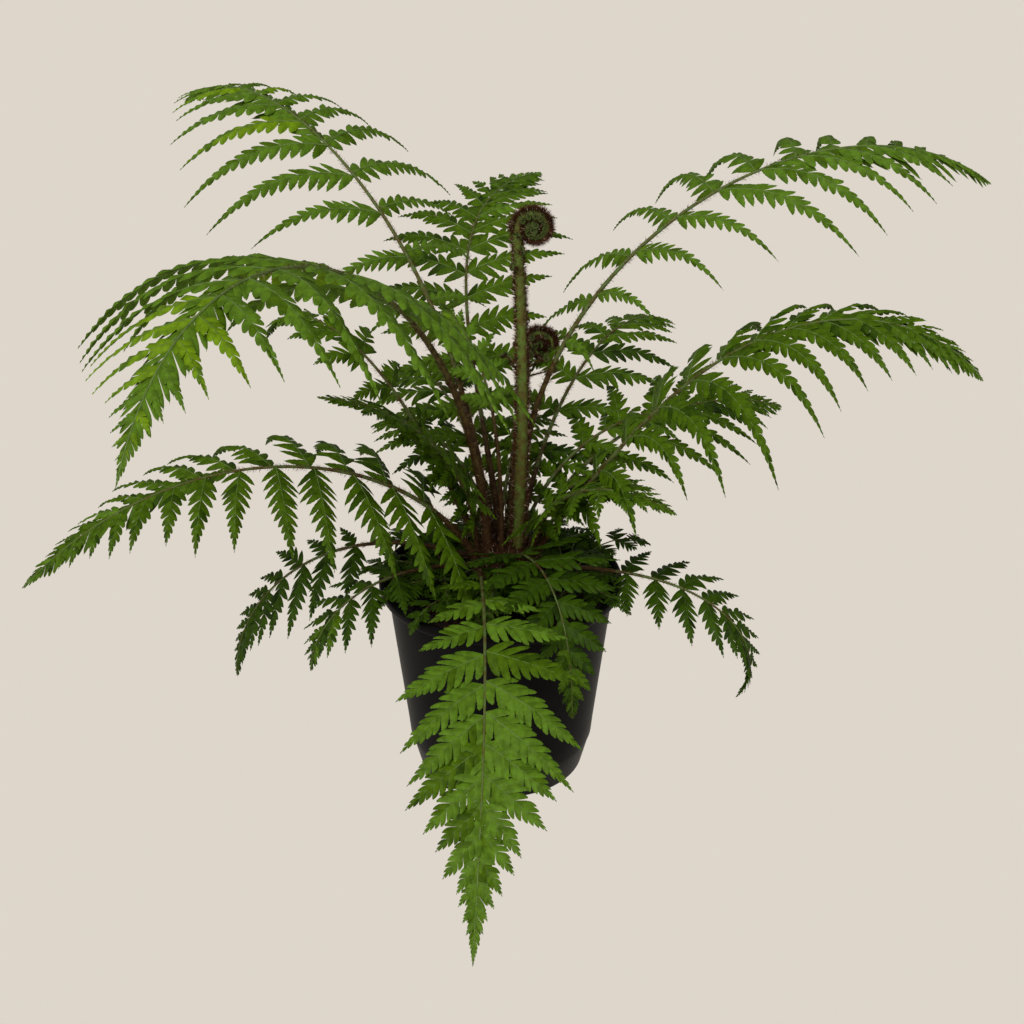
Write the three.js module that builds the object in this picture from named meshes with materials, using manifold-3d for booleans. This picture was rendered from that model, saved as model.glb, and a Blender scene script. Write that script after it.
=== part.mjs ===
// A young Australian tree fern in a round nursery pot, as an assembly of named solids.
// Units are millimetres. +Z is up, -Y is the front, and the origin is the centre of the pot's underside.

import * as THREE from 'three';
import { mergeVertices } from 'three/addons/utils/BufferGeometryUtils.js';
import Module from 'manifold-3d';

const wasm = await Module();
wasm.setup();

// Clearance between neighbouring solids, and the wider one that a cutter takes for its flat sides
const GAP = 0.3;
const CUT_GAP = 1.3 * GAP;

// Pot: outer radii and heights, wall and floor thickness, rolled lip and drain holes
const POT_HEIGHT = 175;
const POT_RIM_RADIUS = 100;
const POT_SHOULDER_RADIUS = 93;
const POT_HEEL_RADIUS = 77;
const POT_FOOT_RADIUS = 70;
const POT_HEEL_HEIGHT = 26;
const POT_WALL = 2.2;
const POT_FLOOR = 3;
const POT_LIP_HEIGHT = 9;
const POT_LIP_ROUND = 2.5;
const POT_SIDES = 32;
const DRAIN_HOLES = 6;
const DRAIN_RADIUS = 6;
const DRAIN_RING = 50;
const DRAIN_SIDES = 8;

// Potting mix: level of its surface and the lower ring where it meets the wall
const MIX_LEVEL = 158;
const MIX_DISH = 3;
const MIX_DISH_WIDTH = 12;

// Trunk: a short scaly stem a little off the pot's middle, with heights above the potting mix
const CROWN_X = 5;
const CROWN_Y = 10;
const TRUNK_FLARE = 31;
const TRUNK_RADIUS = 26;
const TRUNK_SHOULDER_RADIUS = 24;
const TRUNK_TOP_RADIUS = 17;
const TRUNK_CAP_RADIUS = 8.5;
const TRUNK_FLARE_HEIGHT = 10;
const TRUNK_WAIST_HEIGHT = 20;
const TRUNK_SHOULDER_HEIGHT = 28;
const TRUNK_TOP_HEIGHT = 37;
const TRUNK_HEIGHT = 40;
const TRUNK_SIDES = 16;
const TRUNK_SCALES = 8;
const TRUNK_SCALE_DEPTH = 0.07;

// Frond rule: steps along a rib, sides of a stalk, the section of a rib and the shape of a leaflet
const RIB_STEPS = 60;
const STALK_SIDES = 6;
const STALK_PIECE = 34;
const RIB_PIECE = 30;
const RIB_END_RADIUS = 0.7;
const RIB_RISE = 0.5;
const RIB_RIGHT = 2;
const RIB_LEFT = 5;
const SWEEP_POWER = 1.5;
const LEAFLET_STEPS = 10;
const LEAFLET_WIDTH = 0.15;
const LEAFLET_OUTLINE = { 3: 1, 10: 0.08 };
const LEAFLET_BASE = 0.17;
const LEAFLET_CLOSENESS = 0.42;
const LEAFLET_THICKNESS = 1 / 85;
const LEAFLET_LEAST_THICKNESS = 0.9;
const LEAFLET_CROWDING = 1.25;
const LEAFLET_FIRST = 0.3;
const LEAFLET_STAGGER = 0.006;
const SAG_POWER = 1.2;

// How far chance turns a leaflet in degrees, lengthens it and makes it sag
const CHANCE_TURN = 5;
const CHANCE_LENGTH = 0.08;
const CHANCE_SAG = 0.15;

// Angle in degrees that the leaflets keep to the rib at the end of a blade
const TIP_ANGLE = 28;

// Lengths that a leaflet tries in turn until it is clear of its neighbours
const SHORTER = [1, 0.8, 0.6, 0.42];

// Sizes that a frond takes where its own row gives none
const FROND = {
  sweep: 0, seat: null, reach: 18, root: 190, stalkRadius: 5, ribRadius: 2.4,
  base: 0.72, peak: 0.28, taper: 0.9, open: 78, skew: 0, lop: 0, sag: 1, lift: 5, roll: 0, split: null,
};

// Fronds: heading and its sweep, rise at the root and angle at the tip in degrees, lengths in millimetres,
// half width, pairs of leaflets, how far the leaflets open and sag, and where a long blade is split
const FRONDS = {
  back_left: {
    heading: 147, sweep: -21, rise: 83, tip: -33, arch: 1.55, stalk: 150, blade: 440, half: 136, pairs: 12,
    sag: 1.15, open: 84, lop: -0.12, taper: 1.1, base: 0.4, peak: 0.46, reach: 16, root: 192, split: 0.55,
  },
  left_bright: {
    heading: 223.5, sweep: 30, rise: 85.5, tip: -54.5, arch: 1.45, stalk: 245, blade: 370, half: 180,
    pairs: 13, sag: 1.6, open: 76, skew: -12, lop: 0.04, taper: 1.35, base: 0.85, peak: 0.34, seat: 212,
    reach: 17, split: 0.42,
  },
  left_low: {
    heading: 195, sweep: 11, rise: 75, tip: -41, arch: 0.75, stalk: 70, blade: 355, half: 100, pairs: 14,
    sag: 1.1, open: 106, skew: -14, taper: 0.95, base: 1.2, peak: 0.33, reach: 22, root: 176, stalkRadius: 4.5,
    roll: 20, split: 0.44,
  },
  left_hanging: {
    heading: 176, sweep: 10, rise: 22, tip: -88, arch: 1.18, stalk: 100, blade: 185, half: 66, pairs: 8,
    sag: 0.8, open: 75, taper: 1, reach: 20, root: 181, stalkRadius: 3, ribRadius: 1.8, split: 0.5,
  },
  left_small: {
    heading: 205, sweep: 5, rise: 12, tip: -87, arch: 1.9, stalk: 70, blade: 118, half: 60, pairs: 7,
    sag: 0.8, open: 75, taper: 1, reach: 22, root: 184, stalkRadius: 2.4, ribRadius: 1.6,
  },
  front: {
    heading: 274.5, sweep: -13, rise: 42, tip: -68, arch: 0.66, stalk: 60, blade: 326, half: 90, pairs: 14,
    sag: 0.35, lift: 8, open: 72, skew: -6, taper: 1.2, base: 0.34, peak: 0.42, seat: 213, reach: 28, root: 182,
    stalkRadius: 3.6, split: 0.44,
  },
  front_right: {
    heading: 298, sweep: -22, rise: 58, tip: -88, arch: 0.75, stalk: 20, blade: 175, half: 66, pairs: 9,
    sag: 0.3, lift: 10, open: 70, base: 0.9, peak: 0.2, seat: 272, root: 191, stalkRadius: 2.6, ribRadius: 1.8,
  },
  right_hanging: {
    heading: 338, sweep: 15, rise: 8, tip: -126, arch: 2.5, stalk: 95, blade: 160, half: 60, pairs: 8,
    sag: 0.8, open: 75, reach: 20, root: 183, stalkRadius: 2.8, ribRadius: 1.7, roll: -10, split: 0.5,
  },
  right_tall: {
    heading: 7, sweep: 20, rise: 95, tip: -35, arch: 1.11, stalk: 165, blade: 450, half: 136, pairs: 12,
    sag: 1.7, open: 86, skew: -20, lop: 0.12, taper: 0.95, base: 0.42, peak: 0.44, seat: 40, reach: 16,
    root: 192, roll: -6, split: 0.53,
  },
  right_wide: {
    heading: 347, sweep: -10, rise: 57, tip: -50, arch: 2.86, stalk: 50, blade: 405, half: 132, pairs: 14,
    sag: 1.4, open: 76, skew: -24, lop: 0.15, taper: 0.95, base: 0.5, peak: 0.4, root: 184, stalkRadius: 4.5,
    roll: -12, split: 0.5,
  },
  right_back: {
    heading: 27, sweep: -3, rise: 80, tip: -23, arch: 0.74, stalk: 55, blade: 235, half: 95, pairs: 9,
    open: 66, skew: -10, base: 0.6, peak: 0.39, reach: 22, root: 182, stalkRadius: 3.6, roll: -22,
  },
  back: {
    heading: 115, sweep: -65, rise: 78, tip: -7, arch: 0.92, stalk: 105, blade: 338, half: 102, pairs: 13,
    sag: 0.7, open: 82, base: 0.5, peak: 0.49, reach: 12, root: 194, stalkRadius: 4.2, split: 0.61,
  },
  left_inner: {
    heading: 168, sweep: -32, rise: 64, tip: -68, arch: 3.34, stalk: 65, blade: 250, half: 52, pairs: 9,
    sag: 0.9, base: 0.6, peak: 0.52, reach: 19, root: 187, stalkRadius: 4.4, split: 0.64,
  },
  rear_right: {
    heading: 62, sweep: -6, rise: 70, tip: -30, arch: 1.1, stalk: 70, blade: 270, half: 88, pairs: 9,
    open: 76, base: 0.55, peak: 0.41, reach: 20, root: 184, stalkRadius: 3.6,
  },
  rear_left: {
    heading: 112, sweep: 6, rise: 66, tip: -38, arch: 1.1, stalk: 60, blade: 220, half: 78, pairs: 9,
    open: 76, base: 0.6, peak: 0.4, reach: 21, root: 182, stalkRadius: 3.6,
  },
  young: {
    heading: 100, sweep: 40, rise: 88, tip: 20, arch: 1.6, stalk: 120, blade: 110, half: 38, pairs: 7,
    sag: 0.5, open: 66, seat: 250, reach: 11, root: 195, stalkRadius: 2.6, ribRadius: 1.6,
  },
  inner_left: {
    heading: 214, sweep: -20, rise: 86, tip: 10, arch: 1.2, stalk: 50, blade: 175, half: 62, pairs: 9,
    sag: 0.8, open: 74, base: 0.8, seat: 186, reach: 23, root: 188, stalkRadius: 2.8, ribRadius: 1.7,
  },
  inner_right: {
    heading: 312, sweep: 30, rise: 82, tip: -30, arch: 1.2, stalk: 45, blade: 140, half: 62, pairs: 8,
    sag: 0.8, open: 74, base: 0.8, seat: 335, reach: 21, root: 185, stalkRadius: 2.8, ribRadius: 1.7,
  },
};

// Sporelings: small young fronds that fill the mouth of the pot, by seat angle and distance from the trunk
const SPORELING = {
  ...FROND, sweep: 8, rise: 58, tip: -40, arch: 1.1, stalk: 34, blade: 60, half: 27, pairs: 4,
  sag: 0.6, open: 74, root: MIX_LEVEL + 1, stalkRadius: 1.5, ribRadius: 1.1, lift: 10,
};
const SPORELINGS = [
  { heading: 214, seat: 205, reach: 46, stalk: 30 },
  { heading: 186, seat: 188, reach: 52, stalk: 26, rise: 66 },
  { heading: 236, seat: 228, reach: 56, stalk: 24, half: 24 },
  { heading: 158, seat: 165, reach: 48, stalk: 30, rise: 62 },
  { heading: 318, seat: 318, reach: 52, stalk: 30, rise: 64 },
  { heading: 18, seat: 12, reach: 50, stalk: 32, rise: 60 },
  { heading: 88, seat: 92, reach: 46, stalk: 32, rise: 62 },
];

// Croziers: unopened fronds that end in a coil
const CROZIERS = {
  tall: {
    heading: 8, rise: 87, tip: 94, arch: 1.2, stalk: 269, seat: 345, reach: 9, root: 197,
    stalkRadius: 6.2, ribRadius: 4, coilRadius: 13, coilEnd: 3.4, coilTurns: 1.4,
  },
  short: {
    heading: 52, rise: 80, tip: 84, arch: 1, stalk: 168, seat: 85, reach: 15, root: 194,
    stalkRadius: 5, ribRadius: 3.5, coilRadius: 12, coilEnd: 3, coilTurns: 1.35,
  },
};
const COIL_END_RADIUS = 2;
const COIL_SIDES = 6;
const COIL_PIECES_A_TURN = 12;

// Finishes
const FINISH = {
  pot: { color: 0x232326, roughness: 0.42, metalness: 0 },
  mix: { color: 0x1d1512, roughness: 0.95, metalness: 0 },
  trunk: { color: 0x5a3320, roughness: 0.9, metalness: 0 },
  stalk: { color: 0x6a5a2c, roughness: 0.75, metalness: 0 },
  blade: { color: 0x3f6d22, roughness: 0.55, metalness: 0 },
  crozier: { color: 0x6b5428, roughness: 0.8, metalness: 0 },
};

const radians = THREE.MathUtils.degToRad;
const vector = (x, y, z) => new THREE.Vector3(x, y, z);
const DOWN = vector(0, 0, -1);

// A seeded source of even values from -1 to 1, by the usual multiplier and prime
const DICE_MULTIPLIER = 16807;
const DICE_PRIME = 2147483647;
const DICE_SPREAD = 7919;
const DICE_WARM_UP = 5;

function makeDice(seed) {
  let state = seed * DICE_SPREAD + 1;
  const roll = () => {
    state = (state * DICE_MULTIPLIER) % DICE_PRIME;
    return (state / DICE_PRIME) * 2 - 1;
  };
  for (let k = 0; k < DICE_WARM_UP; k += 1) {
    roll();
  }
  return roll;
}

// A welded copy of a geometry that holds only positions, with no flat triangles left
function weld(geometry) {
  const bare = geometry.clone();
  bare.deleteAttribute('normal');
  bare.deleteAttribute('uv');
  const welded = mergeVertices(bare);
  const kept = [];
  const index = welded.index.array;
  for (let k = 0; k < index.length; k += 3) {
    const [a, b, c] = index.slice(k, k + 3);
    if (a !== b && b !== c && c !== a) {
      kept.push(a, b, c);
    }
  }
  welded.setIndex(kept);
  return welded;
}

// A solid for joining and cutting, from a closed geometry
function toSolid(geometry) {
  const welded = weld(geometry);
  return new wasm.Manifold(new wasm.Mesh({
    numProp: 3,
    vertProperties: new Float32Array(welded.attributes.position.array),
    triVerts: new Uint32Array(welded.index.array),
  }));
}

function toGeometry(solid) {
  const { vertProperties, triVerts } = solid.getMesh();
  const geometry = new THREE.BufferGeometry();
  geometry.setAttribute('position', new THREE.BufferAttribute(new Float32Array(vertProperties), 3));
  geometry.setIndex(new THREE.BufferAttribute(new Uint32Array(triVerts), 1));
  geometry.computeVertexNormals();
  return geometry;
}

// The largest body of a solid, so that a cut or a join leaves no scrap
function largest(solid) {
  return solid.decompose().reduce((a, b) => (b.volume() > a.volume() ? b : a));
}

function makeMesh(name, solid, finish) {
  const mesh = new THREE.Mesh(toGeometry(solid), new THREE.MeshStandardMaterial(finish));
  mesh.name = name;
  return mesh;
}

// A body of revolution about Z from a path of radius and height, walked up its outer side
function revolve(path, sides) {
  const lathe = new THREE.LatheGeometry(path.getPoints(2), sides);
  return lathe.rotateX(Math.PI / 2);
}

// A closed skin over rings of points, each ring a loop of vectors, with flat or pointed ends
function skin(rings) {
  const points = rings.flat();
  const starts = [];
  rings.reduce((sum, ring) => {
    starts.push(sum);
    return sum + ring.length;
  }, 0);
  const faces = [];
  for (let k = 0; k + 1 < rings.length; k += 1) {
    const count = Math.max(rings[k].length, rings[k + 1].length);
    for (let j = 0; j < count; j += 1) {
      const next = (j + 1) % count;
      const [a, b] = [j, next].map((n) => starts[k] + (rings[k].length > 1 ? n : 0));
      const [c, d] = [next, j].map((n) => starts[k + 1] + (rings[k + 1].length > 1 ? n : 0));
      if (a !== b) {
        faces.push(a, b, c);
      }
      if (c !== d) {
        faces.push(a, c, d);
      }
    }
  }
  const last = rings.length - 1;
  for (let j = 1; j + 1 < rings[0].length; j += 1) {
    faces.push(starts[0], starts[0] + j + 1, starts[0] + j);
  }
  for (let j = 1; j + 1 < rings[last].length; j += 1) {
    faces.push(starts[last], starts[last] + j, starts[last] + j + 1);
  }
  const geometry = new THREE.BufferGeometry().setFromPoints(points);
  geometry.setIndex(faces);
  return geometry;
}

function potRadiusAt(height) {
  const climb = (height - POT_HEEL_HEIGHT) / (POT_HEIGHT - POT_LIP_HEIGHT - POT_HEEL_HEIGHT);
  const wall = POT_HEEL_RADIUS + (POT_SHOULDER_RADIUS - POT_HEEL_RADIUS) * climb;
  const foot = POT_FOOT_RADIUS + (POT_HEEL_RADIUS - POT_FOOT_RADIUS) * (height / POT_HEEL_HEIGHT);
  return height < POT_HEEL_HEIGHT ? foot : wall;
}

function makePot() {
  const lipFoot = POT_HEIGHT - POT_LIP_HEIGHT;
  const lipCentre = POT_RIM_RADIUS - POT_LIP_ROUND;
  const path = new THREE.Path();
  path.moveTo(0, 0);
  path.lineTo(POT_FOOT_RADIUS, 0);
  path.lineTo(POT_HEEL_RADIUS, POT_HEEL_HEIGHT);
  path.lineTo(POT_SHOULDER_RADIUS, lipFoot);
  path.lineTo(POT_RIM_RADIUS - POT_LIP_ROUND / 2, lipFoot);
  path.lineTo(POT_RIM_RADIUS, lipFoot + POT_LIP_ROUND);
  path.absarc(lipCentre, POT_HEIGHT - POT_LIP_ROUND, POT_LIP_ROUND, 0, Math.PI, false);
  path.lineTo(potRadiusAt(lipFoot) - POT_WALL, lipFoot);
  path.lineTo(POT_HEEL_RADIUS - POT_WALL, POT_HEEL_HEIGHT);
  path.lineTo(potRadiusAt(POT_FLOOR) - POT_WALL, POT_FLOOR);
  path.lineTo(0, POT_FLOOR);
  let pot = toSolid(revolve(path, POT_SIDES));
  for (let k = 0; k < DRAIN_HOLES; k += 1) {
    const angle = (2 * Math.PI * k) / DRAIN_HOLES;
    const hole = new THREE.CylinderGeometry(DRAIN_RADIUS, DRAIN_RADIUS, 4 * POT_FLOOR, DRAIN_SIDES);
    hole.rotateX(Math.PI / 2);
    hole.translate(DRAIN_RING * Math.cos(angle), DRAIN_RING * Math.sin(angle), 0);
    pot = pot.subtract(toSolid(hole));
  }
  return pot;
}

function makeMix() {
  const inside = (height) => potRadiusAt(height) - POT_WALL - 2 * GAP;
  const foot = POT_FLOOR + GAP;
  const edge = MIX_LEVEL - MIX_DISH;
  const path = new THREE.Path();
  path.moveTo(0, foot);
  path.lineTo(inside(foot), foot);
  path.lineTo(inside(POT_HEEL_HEIGHT), POT_HEEL_HEIGHT);
  path.lineTo(inside(edge), edge);
  path.lineTo(inside(edge) - MIX_DISH_WIDTH, MIX_LEVEL);
  path.lineTo(0, MIX_LEVEL);
  return toSolid(revolve(path, POT_SIDES));
}

// The trunk with its rows of leaf bases, made larger all over by the given clearance
function makeTrunk(clearance) {
  const foot = MIX_LEVEL + GAP - clearance;
  const top = MIX_LEVEL + TRUNK_HEIGHT + clearance;
  const path = new THREE.Path();
  path.moveTo(0, foot);
  path.lineTo(TRUNK_FLARE + clearance, foot);
  path.lineTo(TRUNK_RADIUS + clearance, MIX_LEVEL + TRUNK_FLARE_HEIGHT);
  path.lineTo(TRUNK_RADIUS + clearance, MIX_LEVEL + TRUNK_WAIST_HEIGHT);
  path.lineTo(TRUNK_SHOULDER_RADIUS + clearance, MIX_LEVEL + TRUNK_SHOULDER_HEIGHT);
  path.lineTo(TRUNK_TOP_RADIUS + clearance, MIX_LEVEL + TRUNK_TOP_HEIGHT + clearance);
  path.lineTo(TRUNK_CAP_RADIUS, top);
  path.lineTo(0, top);
  const geometry = revolve(path, TRUNK_SIDES);
  const place = geometry.attributes.position;
  for (let k = 0; k < place.count; k += 1) {
    const turn = Math.atan2(place.getY(k), place.getX(k));
    const row = place.getZ(k) > MIX_LEVEL + TRUNK_WAIST_HEIGHT - GAP ? Math.PI : 0;
    const bulge = 1 + TRUNK_SCALE_DEPTH * Math.cos(TRUNK_SCALES * turn + row);
    place.setXY(k, place.getX(k) * bulge, place.getY(k) * bulge);
  }
  return toSolid(geometry);
}

// Points along a frond's rib, which rises from its seat, arches over and may swing sideways
function makeRib(frond) {
  const seat = radians(frond.seat ?? frond.heading);
  const length = frond.stalk + frond.blade;
  const points = [vector(frond.reach * Math.cos(seat), frond.reach * Math.sin(seat), frond.root)];
  const sides = [];
  for (let k = 0; k <= RIB_STEPS; k += 1) {
    const along = k / RIB_STEPS;
    const middle = (k + 0.5) / RIB_STEPS;
    const climb = radians(frond.rise + (frond.tip - frond.rise) * middle ** frond.arch);
    const way = radians(frond.heading + frond.sweep * middle ** SWEEP_POWER);
    const facing = radians(frond.heading + frond.sweep * along ** SWEEP_POWER);
    const step = vector(Math.cos(climb) * Math.cos(way), Math.cos(climb) * Math.sin(way), Math.sin(climb));
    sides.push(vector(Math.sin(facing), -Math.cos(facing), 0));
    points.push(points[k].clone().addScaledVector(step, length / RIB_STEPS));
  }
  return { points, sides, length, roll: radians(frond.roll) };
}

// Place and directions on a rib at a distance from its root: along it, to its side and up from its face
function frameAt(rib, distance) {
  const place = (distance / rib.length) * RIB_STEPS;
  const k = Math.min(Math.max(Math.floor(place), 0), RIB_STEPS - 1);
  const point = rib.points[k].clone().lerp(rib.points[k + 1], place - k);
  const before = rib.points[Math.max(k - 1, 0)];
  const along = rib.points[k + 2].clone().sub(before).normalize();
  const level = rib.sides[k].clone();
  const rise = level.clone().cross(along).normalize();
  const side = level.clone().multiplyScalar(Math.cos(rib.roll)).addScaledVector(rise, Math.sin(rib.roll));
  const up = rise.clone().multiplyScalar(Math.cos(rib.roll)).addScaledVector(level, -Math.sin(rib.roll));
  return { point, along, side, up };
}

// A round limb along a rib between two distances, its radius going evenly from one to the other
function makeLimb(rib, from, to, fromRadius, toRadius, sides, pieceLength) {
  const pieces = Math.max(2, Math.round((to - from) / pieceLength));
  const rings = [];
  for (let k = 0; k <= pieces; k += 1) {
    const { point, side, up } = frameAt(rib, from + ((to - from) * k) / pieces);
    const radius = fromRadius + ((toRadius - fromRadius) * k) / pieces;
    rings.push(Array.from({ length: sides }, (_, j) => {
      const turn = (2 * Math.PI * j) / sides;
      const corner = point.clone().addScaledVector(side, -radius * Math.cos(turn));
      return corner.addScaledVector(up, radius * Math.sin(turn));
    }));
  }
  return toSolid(skin(rings));
}

function ribRadiusAt(frond, distance) {
  const share = (distance - frond.stalk) / frond.blade;
  const [start, end] = share < 0 ? [frond.stalkRadius, frond.ribRadius] : [frond.ribRadius, RIB_END_RADIUS];
  return start + (end - start) * (share < 0 ? distance / frond.stalk : share);
}

// Triangles of the band between two rings of as many points, without the sides that stay open
function band(ring, next, open) {
  return ring.flatMap((point, j) => {
    const k = (j + 1) % ring.length;
    return open.includes(j) ? [] : [point, ring[k], next[k], point, next[k], next[j]];
  });
}

// Triangles of the flat end of a ring
function cap(ring) {
  return ring.slice(2).flatMap((point, j) => [ring[0], ring[j + 1], point]);
}

function joinTriangles(triangles) {
  return toSolid(new THREE.BufferGeometry().setFromPoints(triangles));
}

// How far the leaflets of a frond stand out at a share of its blade
function reachAt(frond, share) {
  const foot = frond.base + (1 - frond.base) * Math.min(1, share / frond.peak);
  return frond.half * foot * Math.min(1, (1 - share) / (1 - frond.peak)) ** frond.taper;
}

function thicknessOf(length) {
  return Math.max(LEAFLET_LEAST_THICKNESS, length * LEAFLET_THICKNESS);
}

// Where the leaflets of a frond sit and how long they are, in pairs from the foot of the blade.
// Both of a pair spring from the same stretch of the rib
function leafletsOf(frond, seed) {
  const roll = makeDice(seed);
  const leaflets = [];
  for (let k = 0; k < frond.pairs; k += 1) {
    const rest = 1 - (k + LEAFLET_FIRST) / frond.pairs;
    const share = 1 - rest ** LEAFLET_CROWDING;
    const room = (frond.blade / frond.pairs) * LEAFLET_CROWDING * rest ** (LEAFLET_CROWDING - 1);
    for (const hand of [-1, 1]) {
      const [turn, more, drop] = [roll(), roll(), roll()];
      const open = (frond.open + frond.skew * hand) * (1 - share) + TIP_ANGLE * share + CHANCE_TURN * turn;
      const length = reachAt(frond, share) * (1 + CHANCE_LENGTH * more) * (1 + frond.lop * hand);
      leaflets.push({
        hand,
        length,
        share: share + LEAFLET_STAGGER * hand,
        angle: radians(open),
        sag: frond.sag + CHANCE_SAG * drop,
        width: Math.min(LEAFLET_WIDTH * length, LEAFLET_CLOSENESS * room * Math.sin(radians(open))),
        middle: frond.stalk + frond.blade * share,
        base: LEAFLET_BASE * room,
      });
    }
  }
  return leaflets;
}

// Sections of one leaflet from its foot on the rib: it widens, tapers and sags
function leafletRings(frond, rib, leaflet, foot, shortening) {
  const { point, along, side, up } = frameAt(rib, frond.stalk + frond.blade * leaflet.share);
  const lift = radians(frond.lift);
  const start = along.clone().multiplyScalar(Math.cos(leaflet.angle));
  start.addScaledVector(side, Math.sin(leaflet.angle) * leaflet.hand);
  start.multiplyScalar(Math.cos(lift)).addScaledVector(up, Math.sin(lift));
  const length = leaflet.length * shortening;
  const slack = Math.sqrt(leaflet.length / frond.half);
  const rings = [foot];
  let place = point;
  for (let k = 0; k <= LEAFLET_STEPS; k += 1) {
    const pull = leaflet.sag * ((k + 0.5) / LEAFLET_STEPS) ** SAG_POWER * slack;
    const way = start.clone().addScaledVector(DOWN, pull).normalize();
    if (k in LEAFLET_OUTLINE) {
      const across = along.clone().addScaledVector(way, -along.dot(way)).normalize();
      const under = across.clone().cross(way).multiplyScalar(leaflet.hand * thicknessOf(length));
      const edge = across.multiplyScalar(leaflet.hand * leaflet.width * LEAFLET_OUTLINE[k]);
      const corners = [place.clone().add(edge), place.clone().sub(edge)];
      rings.push([...corners, corners[1].clone().add(under), corners[0].clone().add(under)]);
    }
    place = place.clone().addScaledVector(way, length / LEAFLET_STEPS);
  }
  return rings;
}

// Triangles of a leaflet that is open at its foot
function leafletSkin(rings) {
  const bands = rings.slice(1).flatMap((ring, k) => band(rings[k], ring, []));
  return [...bands, ...cap(rings[rings.length - 1])];
}

// Section of a blade's rib, a flat hexagon with edges as thick as the leaflets there
function ribSection(frond, rib, distance) {
  const { point, side, up } = frameAt(rib, distance);
  const radius = ribRadiusAt(frond, distance);
  const share = Math.max(0, (distance - frond.stalk) / frond.blade);
  const edge = side.clone().multiplyScalar(radius);
  const rise = up.clone().multiplyScalar(radius * RIB_RISE);
  const under = point.clone().addScaledVector(up, -thicknessOf(reachAt(frond, share)));
  return [
    point.clone().sub(edge), point.clone().add(rise), point.clone().add(edge),
    under.clone().add(edge), under.clone().sub(rise), under.clone().sub(edge),
  ];
}

// Sections of a blade's rib between two distances, one at each end of each leaflet's foot
function ribSections(frond, rib, from, to, leaflets) {
  const feet = leaflets.flatMap(({ middle, base }) => [middle - base, middle + base]);
  const marks = [...new Set([from, ...feet, to])].sort((a, b) => a - b);
  const distances = marks.slice(1).flatMap((mark, k) => {
    const pieces = Math.ceil((mark - marks[k]) / RIB_PIECE);
    return Array.from({ length: pieces }, (_, j) => marks[k] + ((mark - marks[k]) * j) / pieces);
  });
  return [...distances, to].map((distance) => ({ distance, ring: ribSection(frond, rib, distance) }));
}

// The side of the rib that a leaflet springs from, with the sections at its two ends
function footOf(sections, leaflet) {
  const place = sections.findIndex(({ distance }) => distance === leaflet.middle - leaflet.base);
  const [ring, next] = [sections[place].ring, sections[place + 1].ring];
  const foot = leaflet.hand > 0 ? [next[2], ring[2], ring[3], next[3]] : [ring[0], next[0], next[5], ring[5]];
  return { place, foot };
}

// A blade: its rib in one piece with the leaflets, which are given as sections
function makeBlade(sections, grown) {
  const open = sections.map((_, k) => grown.filter(({ place }) => place === k)
    .map(({ hand }) => (hand > 0 ? RIB_RIGHT : RIB_LEFT)));
  const bands = sections.slice(1).flatMap(({ ring }, k) => band(sections[k].ring, ring, open[k]));
  const leaves = grown.flatMap(({ rings }) => leafletSkin(rings));
  const ends = [[...sections[0].ring].reverse(), sections[sections.length - 1].ring].flatMap(cap);
  return joinTriangles([...bands, ...leaves, ...ends]);
}

// Solids already placed, with the node that owns each, so that later ones can keep clear of them
const placed = [];

function place(solid, owner) {
  placed.push({ solid, owner, box: solid.boundingBox() });
  return solid;
}

function near(a, b) {
  return [0, 1, 2].every((n) => a.min[n] - GAP < b.max[n] && b.min[n] - GAP < a.max[n]);
}

function isClear(solid, owner) {
  const box = solid.boundingBox();
  return placed.every((other) => other.owner === owner || !near(box, other.box)
    || solid.minGap(other.solid, 2 * GAP) >= GAP);
}

const pot = new THREE.Group();
const fern = new THREE.Group();
fern.position.set(CROWN_X, CROWN_Y, 0);

// Pot and potting mix stand about the origin, and the fern's solids about its own trunk
const potSolid = makePot();
const mixSolid = makeMix();
pot.add(makeMesh('pot', potSolid, FINISH.pot));
pot.add(makeMesh('potting_mix', mixSolid, FINISH.mix));
place(potSolid.translate([-CROWN_X, -CROWN_Y, 0]), 'pot');
place(mixSolid.translate([-CROWN_X, -CROWN_Y, 0]), 'potting_mix');
fern.add(makeMesh('trunk', place(makeTrunk(0), 'trunk'), FINISH.trunk));

// Stalks are cut to seat on the trunk and to pass one another with clearance
const seats = [makeTrunk(CUT_GAP)];

function addStalk(name, part, rib, finish, endRadius) {
  const stalk = (extra) => makeLimb(
    rib, 0, part.stalk - GAP / 2, part.stalkRadius + extra, endRadius + extra, STALK_SIDES, STALK_PIECE,
  );
  const seated = largest(seats.reduce((solid, cutter) => solid.subtract(cutter), stalk(0)));
  seats.push(stalk(CUT_GAP));
  fern.add(makeMesh(name, place(seated, name), finish));
}

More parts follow.
